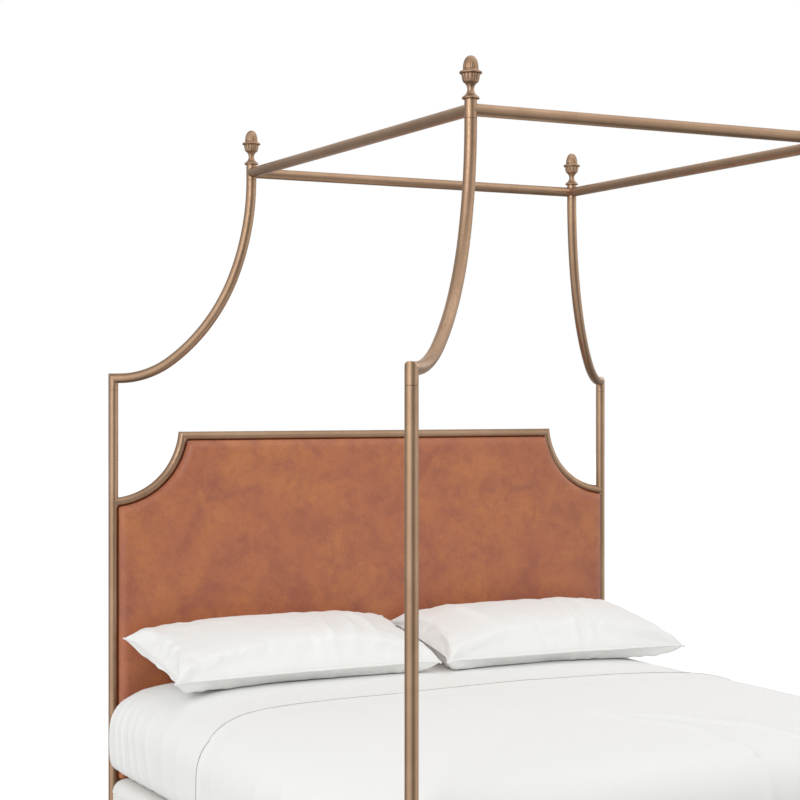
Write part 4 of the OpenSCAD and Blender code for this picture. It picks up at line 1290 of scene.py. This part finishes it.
class BED_OT_set_studio(bpy.types.Operator):
    """Lay the floor, hang the lights and place the camera"""

    bl_idname = "bed.set_studio"
    bl_label = "Set Studio"

    def execute(self, context):
        look = context.scene.bed_studio
        scene = context.scene
        scene.view_settings.view_transform = "Standard"
        floor = new_piece(
            "studio_floor", [(-40, -40, 0), (40, -40, 0), (40, 40, 0), (-40, 40, 0)], [(0, 1, 2, 3)],
            self.paper(look.floor), None, False,
        )
        floor.visible_glossy = False
        floor.visible_diffuse = False
        self.light("overhead_softbox", (0.4, -0.6, 4.8), (0, 0, 0.6), 4.5, 52)
        self.light("side_softbox", (-5.5, -3.5, 3.4), (0, 0, 1.0), 3.0, 95)
        self.light("rim_softbox", (5.0, 3.0, 3.6), (0, 0, 1.2), 2.5, 30)
        self.surround(scene)
        lens = bpy.data.cameras.new("camera")
        lens.lens = look.lens
        lens.sensor_width = 36
        lens.clip_end = 200
        camera = bpy.data.objects.new("camera", lens)
        scene.collection.objects.link(camera)
        camera.location = look.eye
        camera.rotation_euler = (math.radians(90), 0, -look.heading)
        scene.camera = camera
        return {"FINISHED"}

    @staticmethod
    def paper(base):
        """Pale seamless floor with a faint tooth."""
        material, tree, principled = new_material(
            "studio_paper", Roughness=0.85, Emission_Color=(1, 1, 1, 1), Emission_Strength=0.5
        )
        tooth = grain(tree, place(tree), 3, 4)
        tint = tuple(c * 0.985 for c in base)
        tree.links.new(blend_colour(tree, tooth, base, tint), principled.inputs["Base Color"])
        return material

    @staticmethod
    def light(name, spot, target, size, watts):
        lamp = bpy.data.lights.new(name, "AREA")
        lamp.shape = "SQUARE"
        lamp.size = size
        lamp.energy = watts
        holder = bpy.data.objects.new(name, lamp)
        bpy.context.scene.collection.objects.link(holder)
        holder.location = spot
        holder.rotation_euler = (Vector(target) - Vector(spot)).to_track_quat("-Z", "Y").to_euler()

    @staticmethod
    def surround(scene):
        """White behind the bed, softer white for the light that falls on it."""
        world = bpy.data.worlds.new("studio_surround")
        world.use_nodes = True
        scene.world = world
        tree = world.node_tree
        background = tree.nodes["Background"]
        seen = add(tree, "ShaderNodeLightPath").outputs["Is Camera Ray"]
        background.inputs["Color"].default_value = (1, 1, 1, 1)
        way = add(tree, "ShaderNodeTexCoord").outputs["Generated"]
        total = 0.2
        for target, low, high, power in (
            ((0, 0, 1), -0.15, 0.75, 0.29),
            ((-0.95, -0.31, -0.05), 0.4, 0.92, 0.9),
            ((0.88, -0.44, 0.1), 0.6, 0.95, 0.95),
            ((0.3, 0.95, 0.1), 0.5, 1.0, 0.55),
        ):
            towards = add(
                tree, "ShaderNodeVectorMath", {0: way, 1: target}, operation="DOT_PRODUCT"
            ).outputs["Value"]
            total = maths(tree, "ADD", ramp(tree, towards, low, high, 0.0, power), total)
        strength = add(tree, "ShaderNodeMix", {0: seen, 2: total, 3: 1.0}).outputs[0]
        tree.links.new(strength, background.inputs["Strength"])


STEPS = (
    BED_OT_set_studio,
    BED_OT_dress_frame,
    BED_OT_cast_finials,
    BED_OT_upholster_headboard,
    BED_OT_cover_box_spring,
    BED_OT_stuff_mattress,
    BED_OT_fit_sheet,
    BED_OT_lay_flat_sheet,
    BED_OT_fill_pillows,
)
GROUPS = {
    "bed_metal": BedMetal,
    "bed_headboard": BedHeadboard,
    "bed_linen": BedLinen,
    "bed_studio": BedStudio,
}


class BED_PT_panel(bpy.types.Panel):
    """Sizes, colours and steps of the canopy bed"""

    bl_idname = "BED_PT_panel"
    bl_label = "Canopy Bed"
    bl_space_type = "VIEW_3D"
    bl_region_type = "UI"
    bl_category = "Canopy Bed"

    def draw(self, context):
        for group in GROUPS:
            box = self.layout.box()
            settings = getattr(context.scene, group)
            for name in settings.bl_rna.properties.keys():
                if name not in ("rna_type", "name"):
                    box.prop(settings, name)
        for step in STEPS:
            self.layout.operator(step.bl_idname)


CLASSES = (*GROUPS.values(), *STEPS, BED_PT_panel)


def register():
    for cls in CLASSES:
        bpy.utils.register_class(cls)
    for name, group in GROUPS.items():
        setattr(bpy.types.Scene, name, PointerProperty(type=group))


def unregister():
    for name in GROUPS:
        delattr(bpy.types.Scene, name)
    for cls in reversed(CLASSES):
        bpy.utils.unregister_class(cls)


def main():
    register()
    for step in STEPS:
        area, name = step.bl_idname.split(".")
        getattr(getattr(bpy.ops, area), name)()


if __name__ == "__main__":
    main()
